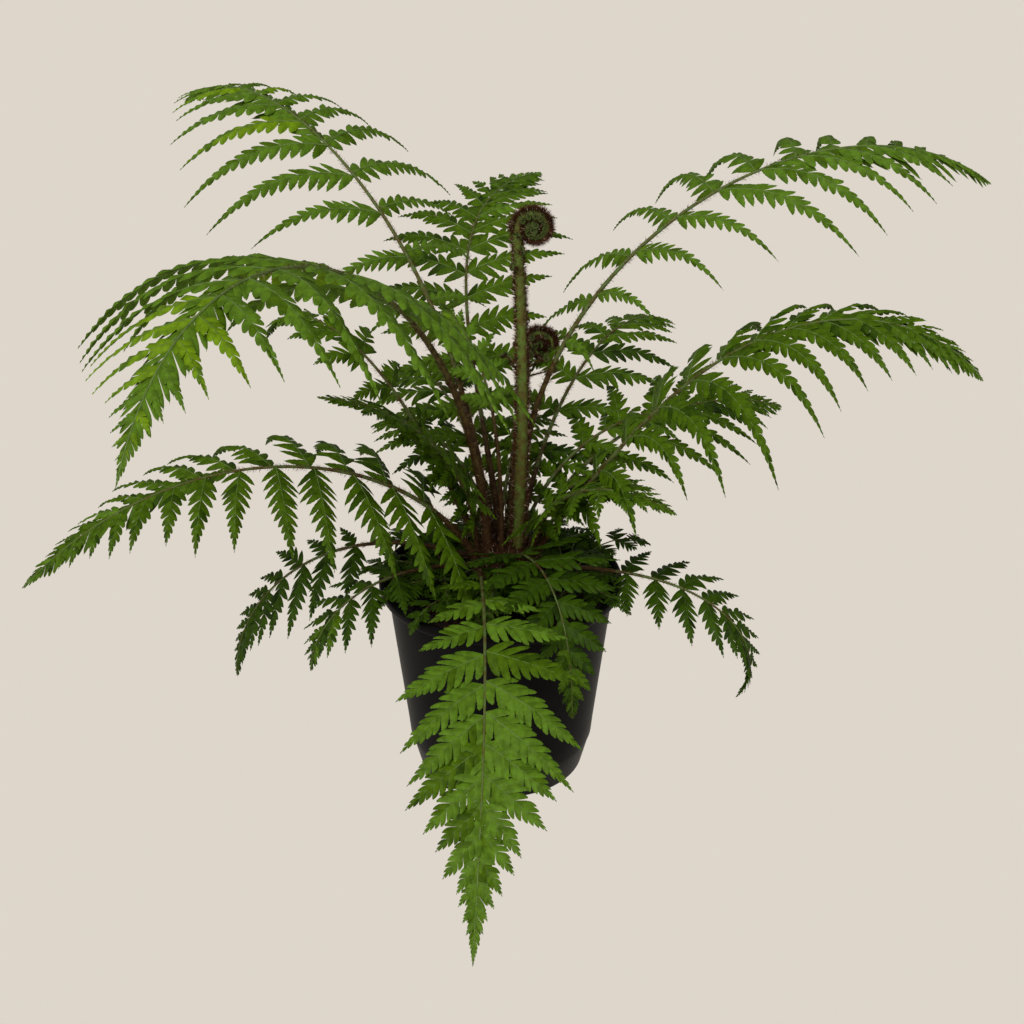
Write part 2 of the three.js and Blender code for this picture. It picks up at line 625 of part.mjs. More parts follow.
// A coil that carries on from a stalk's end, winding inwards in an upright plane
function addCoil(name, part, rib) {
  const { point, along } = frameAt(rib, part.stalk);
  const out = vector(along.z, 0, -along.x).normalize();
  const start = point.clone().addScaledVector(along, GAP / 2);
  const centre = start.clone().addScaledVector(out, part.coilRadius);
  const depth = out.clone().cross(along);
  const pieces = Math.round(part.coilTurns * COIL_PIECES_A_TURN);
  const rings = [];
  for (let k = 0; k <= pieces; k += 1) {
    const share = k / pieces;
    const turn = 2 * Math.PI * part.coilTurns * share;
    const reach = part.coilRadius + (part.coilEnd - part.coilRadius) * share;
    const radius = part.ribRadius + (COIL_END_RADIUS - part.ribRadius) * share;
    const spoke = out.clone().multiplyScalar(-Math.cos(turn)).addScaledVector(along, Math.sin(turn));
    const middle = centre.clone().addScaledVector(spoke, reach);
    rings.push(Array.from({ length: COIL_SIDES }, (_, j) => {
      const around = (2 * Math.PI * j) / COIL_SIDES;
      const away = middle.clone().addScaledVector(spoke, radius * Math.cos(around));
      return away.addScaledVector(depth, radius * Math.sin(around));
    }));
  }
  fern.add(makeMesh(name, place(toSolid(skin(rings)), name), FINISH.crozier));
}

for (const [name, part] of Object.entries(CROZIERS)) {
  const crozier = { ...FROND, ...part, blade: 0 };
  const rib = makeRib(crozier);
  addStalk(`crozier_${name}_stalk`, crozier, rib, FINISH.crozier, crozier.ribRadius);
  addCoil(`crozier_${name}_coil`, crozier, rib);
}

// Each frond is a stalk and a blade, the blade in an inner and an outer node where it arches far over
const blades = [];

function addRib(node, frond, rib, from, to, leaflets) {
  const sections = ribSections(frond, rib, from, to, leaflets);
  place(makeBlade(sections, []), node);
  blades.push({ node, frond, rib, leaflets, sections });
}

Object.entries(FRONDS).forEach(([name, sizes], number) => {
  const frond = { ...FROND, ...sizes };
  const rib = makeRib(frond);
  const leaflets = leafletsOf(frond, number + 1);
  addStalk(`frond_${name}_stalk`, frond, rib, FINISH.stalk, frond.ribRadius);
  const bend = frond.stalk + frond.blade * (frond.split ?? 1);
  const inner = leaflets.filter(({ middle }) => middle < bend);
  const outer = leaflets.slice(inner.length);
  const ends = [frond.stalk, rib.length];
  if (outer.length) {
    ends.splice(1, 0, (inner[inner.length - 1].middle + outer[0].middle) / 2);
  }
  ends.slice(1).forEach((end, n) => {
    const ending = outer.length ? ['_inner', '_outer'][n] : '';
    const last = n === ends.length - 2 ? 0 : GAP / 2;
    addRib(`frond_${name}_blade${ending}`, frond, rib, ends[n] + GAP / 2, end - last, n ? outer : inner);
  });
});

// Sporelings are a stalk and a small blade in one node
SPORELINGS.forEach((sizes, number) => {
  const sporeling = { ...SPORELING, ...sizes };
  const leaflets = leafletsOf(sporeling, Object.keys(FRONDS).length + number + 1);
  const rib = makeRib(sporeling);
  addRib(`sporeling_${number + 1}`, sporeling, rib, 0, rib.length, leaflets);
});

// Leaflets spring from their rib, shorter or not at all where they would touch another node
for (const { node, frond, rib, leaflets, sections } of blades) {
  const grown = [];
  for (const leaflet of leaflets) {
    const { place: at, foot } = footOf(sections, leaflet);
    for (const shortening of SHORTER) {
      const rings = leafletRings(frond, rib, leaflet, foot, shortening);
      const piece = joinTriangles([...leafletSkin(rings), ...cap([...foot].reverse())]);
      if (isClear(piece, node)) {
        place(piece, node);
        grown.push({ place: at, hand: leaflet.hand, rings });
        break;
      }
    }
  }
  fern.add(makeMesh(node, makeBlade(sections, grown), FINISH.blade));
}

const assembly = new THREE.Group();
assembly.add(pot, fern);

export default assembly;
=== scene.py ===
"""A young tree fern in a nursery pot: lobed fronds, scaly stalks, coiled young fronds and a plain stage."""
import math
from typing import NamedTuple

import bpy
import numpy as np
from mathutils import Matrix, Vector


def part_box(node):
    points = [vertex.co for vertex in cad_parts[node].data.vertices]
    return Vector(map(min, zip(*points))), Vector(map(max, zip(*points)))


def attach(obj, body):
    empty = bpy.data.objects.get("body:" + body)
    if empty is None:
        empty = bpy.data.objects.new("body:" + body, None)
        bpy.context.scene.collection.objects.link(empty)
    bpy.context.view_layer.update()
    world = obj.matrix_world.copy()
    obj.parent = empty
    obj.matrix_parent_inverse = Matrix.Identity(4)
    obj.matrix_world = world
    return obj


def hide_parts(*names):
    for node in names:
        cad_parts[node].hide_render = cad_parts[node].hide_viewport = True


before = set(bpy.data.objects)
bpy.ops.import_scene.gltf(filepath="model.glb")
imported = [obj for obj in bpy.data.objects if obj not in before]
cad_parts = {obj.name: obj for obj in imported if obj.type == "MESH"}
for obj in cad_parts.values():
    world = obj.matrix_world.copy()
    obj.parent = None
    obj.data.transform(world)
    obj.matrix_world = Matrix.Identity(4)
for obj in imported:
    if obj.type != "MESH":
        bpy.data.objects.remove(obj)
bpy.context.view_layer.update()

bl_info = {
    "name": "Potted Tree Fern",
    "version": (1, 0, 0),
    "blender": (4, 5, 0),
    "location": "View3D > Sidebar > Tree Fern",
    "description": "Dresses a young tree fern in its nursery pot with lobed fronds, scaly stalks and a stage",
    "category": "Object",
}

# The plant is worked out in millimetres about its own trunk, which stands off the pot's middle
MM = 0.001
CROWN = np.array((5.0, 10.0, 0.0))
CROWN_HEIGHT = 185
MIX_LEVEL = 158
DOWN = np.array((0.0, 0.0, -1.0))

# Rule of a frond's rib and of the leaflets along it
RIB_STEPS = 60
SWEEP_POWER = 1.5
LEAFLET_STEPS = 24
LEAFLET_CROWDING = 1.25
LEAFLET_FIRST = 0.3
LEAFLET_STAGGER = 0.006
SAG_POWER = 1.2
CHANCE_TURN = 5
CHANCE_LENGTH = 0.08
CHANCE_SAG = 0.15
CHANCE_ROOF = 0.06

# Rule of the lobes along a leaflet's rib: they lap at the foot, lean and hook forward, bulge and droop
LOBE_CROWDING = 1.3
LOBE_LAP = 1.02
LOBE_LEAN_GAIN = 0.5
LOBE_HOOK = 0.16
LOBE_POINT = 0.1
LOBE_DROOP = 0.12
PUFF_FOOT = 0.25
PUFF_RISE = 1.6
LOBE_FOOT_THICK = 1.2
CHANCE_REACH = 0.06
CHANCE_SLANT = 0.07
CHANCE_TILT = 0.14
CHANCE_DARKER = 0.12

# How far lobes are joined: at a leaflet's end, on narrow leaflets by their width, and late along the blade
JOINED_AT_END = 0.85
NARROW_WIDTHS = (2, 8)
NARROW_JOINED = 0.8
LATE_SHARES = (0.35, 0.8)
LATE_JOINED = 0.84

# Leaflets at least this wide, on blades with at least this half width, have toothed lobes
TOOTHED_WIDTH = 6
TOOTHED_HALF = 60

# Lobes to a leaflet: the first few, the spacing of the rest, and the fewest and the most
FIRST_LOBES = 4
LOBE_SPACING = 10
LOBE_COUNTS = (5, 18)

# Outline of a leaflet: its foot, which is wider later along the blade, and how it narrows to its end
PINNA_FOOT = 0.72
PINNA_LATE_FOOT = 0.3
PINNA_WIDENING = 1.1
PINNA_NARROWING = 1.2
PINNA_EDGE = 0.06

# A leaflet's own rib: length to a millimetre of radius, least and most radius, that at its end, and its share
PINNA_RIB_SLIMNESS = 160
PINNA_RIB_RADII = (0.18, 0.7)
PINNA_RIB_POINT = 0.1
PINNA_RIB_SHARE = 0.97
PINNA_RIB_LONG = 30

# The toothed wing that a blade's rib carries from a share of the blade on
TAIL_START = 0.5
TAIL_TOOTH = 5
TAIL_COUNTS = (8, 32)
TAIL_SHARES = (TAIL_START, 0.85, 1)
TAIL_REACH = (0.08, 0.42, 0.6)
TAIL_LEAST = 0.2
TAIL_JOINED = 0.7
TAIL_LEAN = 0.9

# How a leaflet's shade follows its place along the blade: darker near the crown as painted shade, lighter at
# the young end
SHADE_GAIN = 0.55
SHADE_MIDDLE = 0.4
CHANCE_SHADE = 0.22

# Share of a blade's rib that is hairy, and odds of brown, dark and pale hairs
HAIRY = 0.6
HAIR_ODDS = (0.62, 0.28, 0.1)

# Rule of the hairs along a stalk: where they start, how they crowd to its foot, sink in, lean and grow
HAIR_START = 0.01
HAIR_CROWDING = 1.35
HAIR_SUNK = 0.9
HAIR_LEAN = 0.35
HAIR_SHORTEST = 0.35
CHANCE_HAIR = 0.3

# The smaller fronds beside a frond: how far their seats turn with them, their stalks and their rise
SISTER_SEAT = 0.04
SISTER_STALK = 0.9
SISTER_RISE = 8
SMALL_STALK = 0.6
SMALL_RIB = 0.7

# Curled leaflets of the croziers: their winding, and how far they and their limbs shrink inwards
CURL_TURNS = 1.6
CURL_RINGS = 22
CURL_CORNERS = 6
CURL_INWARDS = 0.78
CURL_SLIMMER = 0.55

# Seeded source of even values
DICE_MULTIPLIER = 16807
DICE_PRIME = 2147483647
DICE_SPREAD = 7919
DICE_WARM_UP = 5

# A blade's own rib: length between its rings, radius at its end, and its size on hairy and on smooth fronds
RIB_RING = 9
RIB_POINT = 0.3
HAIRY_RIB_SIZE = 0.8
SMOOTH_RIB_SIZE = 0.62

# Numbers of the materials of ribs; the dark one carries the painted shade of the darker leaflets
SMOOTH_RIB, LIGHT_RIB, DARK_RIB, HAIRY_RIB = range(4)

# Grain of the relief on stalks and coils, in metres
LIMB_GRAIN = 0.0025

# Shades of leaf, from painted deep shade to young leaf in painted light, in the leaf settings' order
SHADES = ("deep", "dark", "mid", "fresh", "bright", "lime")


class Frond(NamedTuple):
    """One frond in degrees and millimetres: it leaves the crown, climbs, arches over and droops.

    The rib goes by heading, rise, tip, arch and sweep from its seat. half, base, peak and taper give the
    blade's outline. open, skew, tip_angle, lop, sag, lift and roll place the leaflets, and crowd, close,
    fill, width, full, roof and cut shape them. shade sets the leaf colour, with painted shade and light in
    it.
    """

    name: str
    heading: float
    rise: float
    tip: float
    arch: float
    stalk: float
    blade: float
    half: float
    pairs: int
    sweep: float = 0
    seat: float = None
    reach: float = 18
    root: float = 190
    stalk_radius: float = 5
    rib_radius: float = 2.4
    base: float = 0.72
    peak: float = 0.28
    taper: float = 0.9
    open: float = 78
    skew: float = 0
    lop: float = 0
    sag: float = 1
    lift: float = 5
    roll: float = 0
    split: bool = True
    shade: float = 2
    crowd: float = 2
    close: float = 0.5
    fill: float = 0.2
    width: float = 0.23
    full: float = 1.55
    roof: float = 0.26
    tip_angle: float = 28
    cut: float = 0.42
    hairy: bool = True
    slot: str = "foliage"

    @property
    def length(self):
        return self.stalk + self.blade

    @property
    def bearing(self):
        """Where its root stands about the trunk."""
        return self.heading if self.seat is None else self.seat

    @property
    def blade_nodes(self):
        """Names of the frame's nodes that the blade stands for."""
        endings = ("_inner", "_outer") if self.split else ("",)
        return [f"frond_{self.name}_blade{ending}" for ending in endings]


# A frond's shade paints shade and light as well as age: low inside and under the crown, high on lit young
# fronds
FRONDS = (
    Frond("back_left", 147, 83, -33, 1.55, 150, 440, 136, 12, sweep=-21, sag=1.15, open=84, skew=14,
          lop=-0.05, taper=1.1, base=0.4, peak=0.46, reach=16, root=192, shade=3.15, crowd=1.8, width=0.105,
          full=1.05, roof=0.35, tip_angle=62, cut=0.28),
    Frond("left_bright", 223.5, 85.5, -54.5, 1.45, 245, 370, 180, 11, sweep=30, sag=1.6, open=76, skew=-12,
          lop=0.04, taper=1.35, base=0.85, peak=0.34, seat=212, reach=17, shade=3.4, crowd=2.1, close=0.56,
          fill=-0.3, width=0.18, tip_angle=44, cut=0.54, slot="foliage_bright"),
    Frond("left_low", 195, 75, -41, 0.75, 70, 355, 100, 12, sweep=11, sag=1.25, open=106, skew=-14,
          taper=0.95, base=1.2, peak=0.33, reach=22, root=176, stalk_radius=4.5, roll=12, shade=1.9,
          close=0.55, fill=-0.16, width=0.21, cut=0.3),
    Frond("left_hanging", 176, 22, -88, 1.18, 100, 185, 54, 9, sweep=10, sag=0.8, open=75, lop=-0.25,
          taper=0.8, reach=20, root=181, stalk_radius=3, rib_radius=1.8, roll=26, shade=0.9, width=0.25,
          slot="foliage_dark"),
    Frond("left_small", 205, 12, -87, 1.9, 70, 118, 60, 6, sweep=5, sag=0.8, open=75, taper=1, reach=22,
          root=184, stalk_radius=2.4, rib_radius=1.6, split=False, shade=1.2, slot="foliage_dark"),
    Frond("front", 274.5, 42, -68, 0.66, 60, 326, 90, 13, sweep=-13, sag=0.35, lift=8, open=72, skew=-6,
          taper=1.2, base=0.34, peak=0.42, seat=213, reach=28, root=182, stalk_radius=3.6, shade=2.8,
          crowd=1.75, close=0.66, full=1.6, roof=0.1, cut=0.54, hairy=False),
    Frond("front_right", 298, 58, -88, 0.75, 20, 175, 66, 8, sweep=-22, sag=0.3, lift=10, open=70, base=0.9,
          peak=0.2, seat=272, root=191, stalk_radius=2.6, rib_radius=1.8, split=False, shade=1.3, crowd=1.75,
          close=0.6, full=2, roof=0.1, hairy=False),
    Frond("right_hanging", 338, 8, -126, 2.5, 75, 180, 60, 9, sweep=15, sag=0.8, open=75, reach=20, root=183,
          stalk_radius=2.8, rib_radius=1.7, roll=-10, shade=0.9, width=0.25, slot="foliage_dark"),
    Frond("right_tall", 7, 95, -35, 1.11, 165, 450, 136, 12, sweep=20, sag=1.35, open=97, skew=-33,
          lop=-0.05, taper=0.95, base=0.42, peak=0.44, seat=40, reach=16, root=192, roll=-6, shade=2.8,
          crowd=1.8, width=0.105, full=1.05, roof=0.35, cut=0.28),
    Frond("right_wide", 347, 57, -50, 2.86, 50, 405, 132, 12, sweep=-10, sag=1.4, open=76, skew=-24,
          lop=0.15, taper=0.95, base=0.5, peak=0.4, root=184, stalk_radius=4.5, roll=-12, close=0.41,
          width=0.17, cut=0.5),
    Frond("right_back", 27, 80, -23, 0.74, 55, 235, 95, 8, sweep=-3, open=66, skew=-10, base=0.6, peak=0.39,
          reach=22, root=182, stalk_radius=3.6, roll=-22, split=False, shade=1.8, close=0.38, width=0.18,
          slot="foliage_dark"),
    Frond("back", 115, 78, -7, 0.92, 105, 338, 102, 12, sweep=-65, sag=0.7, open=82, base=0.5, peak=0.49,
          reach=12, root=194, stalk_radius=4.2, shade=2.2),
    Frond("left_inner", 168, 64, -68, 3.34, 65, 250, 52, 7, sweep=-32, sag=0.9, base=0.6, peak=0.52, reach=19,
          root=187, stalk_radius=4.4, shade=1.8, slot="foliage_dark"),
    Frond("rear_right", 62, 70, -30, 1.1, 70, 270, 88, 8, sweep=-6, open=76, base=0.55, peak=0.41, reach=20,
          root=184, stalk_radius=3.6, split=False, shade=1.8, close=0.38, width=0.18, slot="foliage_dark"),
    Frond("rear_left", 112, 66, -38, 1.1, 60, 220, 78, 8, sweep=6, open=76, base=0.6, peak=0.4, reach=21,
          root=182, stalk_radius=3.6, split=False, shade=1.8, slot="foliage_dark"),
    Frond("young", 100, 88, 20, 1.6, 120, 110, 38, 6, sweep=40, sag=0.5, open=66, seat=250, reach=11,
          root=195, stalk_radius=2.6, rib_radius=1.6, split=False, shade=3.2, slot="foliage_bright"),
    Frond("inner_left", 214, 86, 10, 1.2, 50, 175, 62, 8, sweep=-20, sag=0.8, open=74, base=0.8, seat=186,
          reach=23, root=188, stalk_radius=2.8, rib_radius=1.7, split=False, shade=1.9, slot="foliage_dark"),
    Frond("inner_right", 312, 82, -30, 1.2, 45, 140, 62, 7, sweep=30, sag=0.8, open=74, base=0.8, seat=335,
          reach=21, root=185, stalk_radius=2.8, rib_radius=1.7, split=False, shade=1.9, slot="foliage_dark"),
)

# The sporelings' low shade is painted shade in the pot's mouth
SPORELING = Frond("sporeling", 0, 58, -40, 1.1, 34, 60, 27, 4, sweep=8, sag=0.6, open=74, root=MIX_LEVEL + 1,
                  stalk_radius=1.5, rib_radius=1.1, lift=10, shade=0.95, crowd=1.6, close=0.7, width=0.4,
                  full=2.2, roof=0.08, hairy=False, slot="foliage_dark")
SPORELINGS = (
    SPORELING._replace(heading=214, seat=205, reach=46, stalk=30),
    SPORELING._replace(heading=186, seat=188, reach=52, stalk=26, rise=66),
    SPORELING._replace(heading=236, seat=228, reach=56, stalk=24, half=24),
    SPORELING._replace(heading=158, seat=165, reach=48, stalk=30, rise=62),
    SPORELING._replace(heading=318, seat=318, reach=52, stalk=30, rise=64),
    SPORELING._replace(heading=18, seat=12, reach=50, stalk=32, rise=60),
    SPORELING._replace(heading=88, seat=92, reach=46, stalk=32, rise=62),
)

# Turns and sizes of the extra leaves in each sporeling's tuft
TUFT = ((-62, 0.72), (48, 0.8), (118, 0.6), (-128, 0.66), (170, 0.75), (85, 0.9), (-95, 0.85))

# Turns and sizes of the smaller fronds that stand beside the fronds of the crown
SISTERS = {
    "front_right": ((-35, 0.5),),
    "inner_left": ((-34, 0.75), (-55, 0.55)),
    "inner_right": ((30, 0.8), (66, 0.7)),
    "rear_left": ((18, 0.75), (-36, 0.7)),
    "rear_right": ((-36, 0.7),),
}


class Crozier(NamedTuple):
    """A young frond still coiled: a stalk, the spiral at its end and how hairy both are."""

    stem: Frond
    coil_radius: float
    coil_end: float
    coil_turns: float
    fuzz: float


CROZIERS = {
    "tall": Crozier(
        Frond("tall", 8, 87, 94, 1.2, 269, 0, 0, 0, seat=345, reach=9, root=197, stalk_radius=6.2,
              rib_radius=4),
        13, 3.4, 1.4, 1.3),
    "short": Crozier(
        Frond("short", 52, 80, 84, 1, 168, 0, 0, 0, seat=85, reach=15, root=194, rib_radius=3.5),
        12, 3, 1.35, 2.2),
}


def length_property(name, description, default):
    return bpy.props.FloatProperty(name=name, description=description, default=default, unit="LENGTH")


def share_property(name, description, default):
    return bpy.props.FloatProperty(name=name, description=description, default=default, subtype="FACTOR")


def colour_property(name, description, default):
    return bpy.props.FloatVectorProperty(name=name, description=description, default=default, subtype="COLOR")


class PotSettings(bpy.types.PropertyGroup):
    """Sizes and colour of the nursery pot and its potting mix."""

    height: length_property("Height", "Height of the pot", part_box("pot")[1].z)
    rim_radius: length_property("Rim radius", "Outer radius of the rolled rim", 0.1)
    shoulder_radius: length_property("Shoulder radius", "Outer radius under the rim", 0.093)
    heel_radius: length_property("Heel radius", "Outer radius at the top of the foot", 0.077)
    foot_radius: length_property("Foot radius", "Radius of the flat underside", 0.07)
    heel_height: length_property("Heel height", "Height of the slanted foot", 0.026)
    lip_height: length_property("Lip height", "Height of the rim's band", 0.009)
    lip_round: length_property("Lip rounding", "Radius of the rim's round top", 0.0025)
    wall: length_property("Wall", "Thickness of the wall", 0.0022)
    floor: length_property("Floor", "Thickness of the pot's floor", 0.003)
    plastic: colour_property("Plastic", "Colour of the pot", (0.0025, 0.0025, 0.0027))
    dust: colour_property("Dust", "Colour of the dust on the pot", (0.0055, 0.0053, 0.0052))
    mix: colour_property("Potting mix", "Colour of the potting mix", (0.012, 0.008, 0.006))
    chip: colour_property("Bark chips", "Colour of the bark chips in the mix", (0.06, 0.022, 0.011))
    chips: bpy.props.IntProperty(name="Chips", description="Number of bark chips on the mix", default=1100)


class WoodSettings(bpy.types.PropertyGroup):
    """Colours and scales of the trunk, the stalks and the coiled young fronds."""

    bark: colour_property("Bark", "Colour of the trunk", (0.022, 0.009, 0.005))
    scale: colour_property("Scales", "Colour of the brown scales", (0.07, 0.026, 0.009))
    scale_dark: colour_property("Dark scales", "Colour of the darker scales", (0.022, 0.009, 0.005))
    scale_pale: colour_property("Pale hairs", "Colour of the pale hairs among the scales", (0.34, 0.25, 0.17))
    stalk_base: colour_property("Stalk base", "Colour of a stalk near the crown", (0.05, 0.022, 0.008))
    stalk_middle: colour_property("Stalk middle", "Colour of a stalk half-way up", (0.075, 0.055, 0.013))
    stalk_end: colour_property("Stalk end", "Colour of a stalk where its blade starts", (0.11, 0.13, 0.03))
    crozier: colour_property("Young stalk", "Colour of the young stalks", (0.085, 0.13, 0.022))
    curl: colour_property("Curls", "Colour of the silvery curled leaflets", (0.05, 0.056, 0.016))
    scale_length: length_property("Scale length", "Length of a long scale", 0.0062)


class LeafSettings(bpy.types.PropertyGroup):
    """Shape of the leaflets' lobes, and the shades of green from deep shade to young growth, which paint
    shade and light on the leaves as well as their age.
    """

    lean: share_property("Lean", "How far a lobe leans towards the leaflet's tip", 0.66)
    puff: share_property("Puff", "How far a lobe bulges up", 0.45)
    thickness: length_property("Thickness", "Thickness of the leaf", 0.0003)
    # Painted shade: deep and dark stand for leaves inside and under the crown and in the pot's mouth; dark is
    # also older leaf
    deep: colour_property("Deep", "Leaf in deep shade", (0.012, 0.027, 0.0008))
    dark: colour_property("Dark", "Old leaf", (0.024, 0.052, 0.001))
    mid: colour_property("Mid", "Full-grown leaf", (0.048, 0.094, 0.002))
    fresh: colour_property("Fresh", "Leaf of this season", (0.071, 0.138, 0.008))
    # Painted light: bright is young leaf made lighter, as if lit from above and through
    bright: colour_property("Bright", "Young leaf in the light", (0.112, 0.196, 0.004))
    lime: colour_property("Lime", "Youngest leaf ends", (0.14, 0.242, 0.008))
    rib: colour_property("Ribs", "Colour of the leaflets' ribs", (0.13, 0.2, 0.05))


class StageSettings(bpy.types.PropertyGroup):
    """Camera, floor and light."""

    camera: bpy.props.FloatVectorProperty(
        name="Camera", description="Place of the camera", default=(0.0095, -1.1797, 0.8334),
        subtype="TRANSLATION")
    pitch: bpy.props.FloatProperty(
        name="Pitch", description="How far the camera looks down", default=math.radians(27), subtype="ANGLE")
    lens: bpy.props.FloatProperty(
        name="Lens", description="Focal length for a 36 mm sensor, in millimetres", default=57.66)
    floor: colour_property("Floor", "Colour of the lit floor", (0.730, 0.672, 0.597))
    key: bpy.props.FloatProperty(name="Key light", description="Strength of the high soft light", default=2.4)
    fill: bpy.props.FloatProperty(name="Fill light", description="Strength of the front light", default=0.7)
    sky: bpy.props.FloatProperty(name="Sky", description="Strength of the even light", default=0.32)


class Settings(NamedTuple):
    """The groups of settings that the scene holds."""

    pot: PotSettings
    wood: WoodSettings
    leaf: LeafSettings
    stage: StageSettings


def settings():
    """All the settings, as the scene holds them."""
    scene = bpy.context.scene
    return Settings(scene.fern_pot, scene.fern_wood, scene.fern_leaf, scene.fern_stage)


def unit(vectors):
    return vectors / np.linalg.norm(vectors, axis=-1, keepdims=True)


def dice(seed):
    """Gives even values from -1 to 1, the same for a seed each time."""
    state = seed * DICE_SPREAD + 1
    throws = 0
    while True:
        state = state * DICE_MULTIPLIER % DICE_PRIME
        throws += 1
        if throws > DICE_WARM_UP:
            yield state / DICE_PRIME * 2 - 1


class Line(NamedTuple):
    """A rib: its points, with the way along it, the way across it and its upper side at each."""

    points: np.ndarray
    along: np.ndarray
    across: np.ndarray
    up: np.ndarray
    length: float

    def at(self, shares):
        """Point and ways at shares of the length, carried straight on past the end."""
        shares = np.asarray(shares, float)
        last = len(self.points) - 1
        place = np.clip(shares, 0, 1) * last
        step = np.minimum(place.astype(int), last - 1)
        part = (place - step)[..., None]
        rows = [row[step] * (1 - part) + row[step + 1] * part for row in self[:4]]
        past = np.maximum(shares - 1, 0)[..., None] * self.length
        along = unit(rows[1])
        return rows[0] + along * past, along, unit(rows[2]), unit(rows[3])


def rib_line(frond):
    """The line of a frond's stalk and rib, which climbs, arches over and may swing sideways."""
    seat = math.radians(frond.bearing)
    steps = np.arange(RIB_STEPS + 1)
    middle = (steps + 0.5) / RIB_STEPS
    climb = np.radians(frond.rise + (frond.tip - frond.rise) * middle ** frond.arch)
    way = np.radians(frond.heading + frond.sweep * middle ** SWEEP_POWER)
    facing = np.radians(frond.heading + frond.sweep * (steps / RIB_STEPS) ** SWEEP_POWER)
    strides = np.stack((np.cos(climb) * np.cos(way), np.cos(climb) * np.sin(way), np.sin(climb)), 1)
    start = np.array((frond.reach * math.cos(seat), frond.reach * math.sin(seat), frond.root))
    points = start + np.cumsum(strides, 0) * frond.length / RIB_STEPS
    points = np.vstack((start, points))
    before = points[np.maximum(steps - 1, 0)]
    along = unit(points[steps + 1] - before)
    level = np.stack((np.sin(facing), -np.cos(facing), np.zeros(len(steps))), 1)
    rise = unit(np.cross(level, along))
    roll = math.radians(frond.roll)
    side = level * math.cos(roll) + rise * math.sin(roll)
    up = rise * math.cos(roll) - level * math.sin(roll)
    return Line(points[:-1], along, side, up, frond.length)


class Leaflet(NamedTuple):
    """Where one leaflet sits on its blade, how far it opens and how long it is."""

    hand: int
    share: float
    angle: float
    length: float
    sag: float
    width: float


def reach_at(frond, share):
    """How far the leaflets stand out at a share of the blade."""
    foot = frond.base + (1 - frond.base) * np.minimum(1, share / frond.peak)
    return frond.half * foot * np.minimum(1, (1 - share) / (1 - frond.peak)) ** frond.taper


def leaflets_of(frond, seed):
    """The leaflets of a frond, in pairs from the foot of the blade to its very end."""
    roll = dice(seed)
    leaflets = []
    pairs = round(frond.pairs * frond.crowd / LEAFLET_CROWDING)
    for k in range(pairs):
        rest = 1 - (k + LEAFLET_FIRST) / pairs
        share = 1 - rest ** frond.crowd
        room = frond.blade / pairs * frond.crowd * rest ** (frond.crowd - 1)
        reach = reach_at(frond, share)
        for hand in (-1, 1):
            turn, more, drop = next(roll), next(roll), next(roll)
            opened = (frond.open + frond.skew * hand) * (1 - share) + frond.tip_angle * share
            angle = math.radians(opened + CHANCE_TURN * turn)
            length = reach * (1 + CHANCE_LENGTH * more) * (1 + frond.lop * hand)
            width = min(frond.width * length, (frond.close + frond.fill * share) * room * math.sin(angle))
            place = share + LEAFLET_STAGGER * hand * rest
            leaflets.append(Leaflet(hand, place, angle, length, frond.sag + CHANCE_SAG * drop, width))
    return leaflets


def leaflet_line(frond, rib, leaflet):
    """The line of a leaflet's own rib, which leaves the frond's rib and sags."""
    point, along, side, up = rib.at((frond.stalk + frond.blade * leaflet.share) / frond.length)
    lift = math.radians(frond.lift)
    flat = along * math.cos(leaflet.angle) + side * math.sin(leaflet.angle) * leaflet.hand
    start = flat * math.cos(lift) + up * math.sin(lift)
    middle = (np.arange(LEAFLET_STEPS + 1) + 0.5) / LEAFLET_STEPS
    pull = leaflet.sag * middle ** SAG_POWER * math.sqrt(leaflet.length / frond.half)
    ways = unit(start + DOWN * pull[:, None])
    strides = ways[:-1] * leaflet.length / LEAFLET_STEPS
    points = point + np.vstack((np.zeros(3), np.cumsum(strides, 0)))
    across = unit(along - ways * (ways @ along)[:, None])
    return Line(points, ways, across, np.cross(ways, across) * leaflet.hand, leaflet.length)


def tube_faces(rings, corners, tipped):
    """Corner numbers of a tube of rings with a closed foot, ending in a point or in a flat end."""
    j = np.arange(corners)
    ring = np.stack((j, (j + 1) % corners, (j + 1) % corners + corners, j + corners), 1)
    faces = [ring + corners * k for k in range(rings - 1)]
    blocks = [np.concatenate(faces)] if faces else []
    blocks.append(j[::-1][None])
    top = corners * (rings - 1)
    if tipped:
        blocks.append(np.stack((top + j, top + (j + 1) % corners, np.full(corners, top + corners)), 1))
    else:
        blocks.append((top + j)[None])
    return blocks


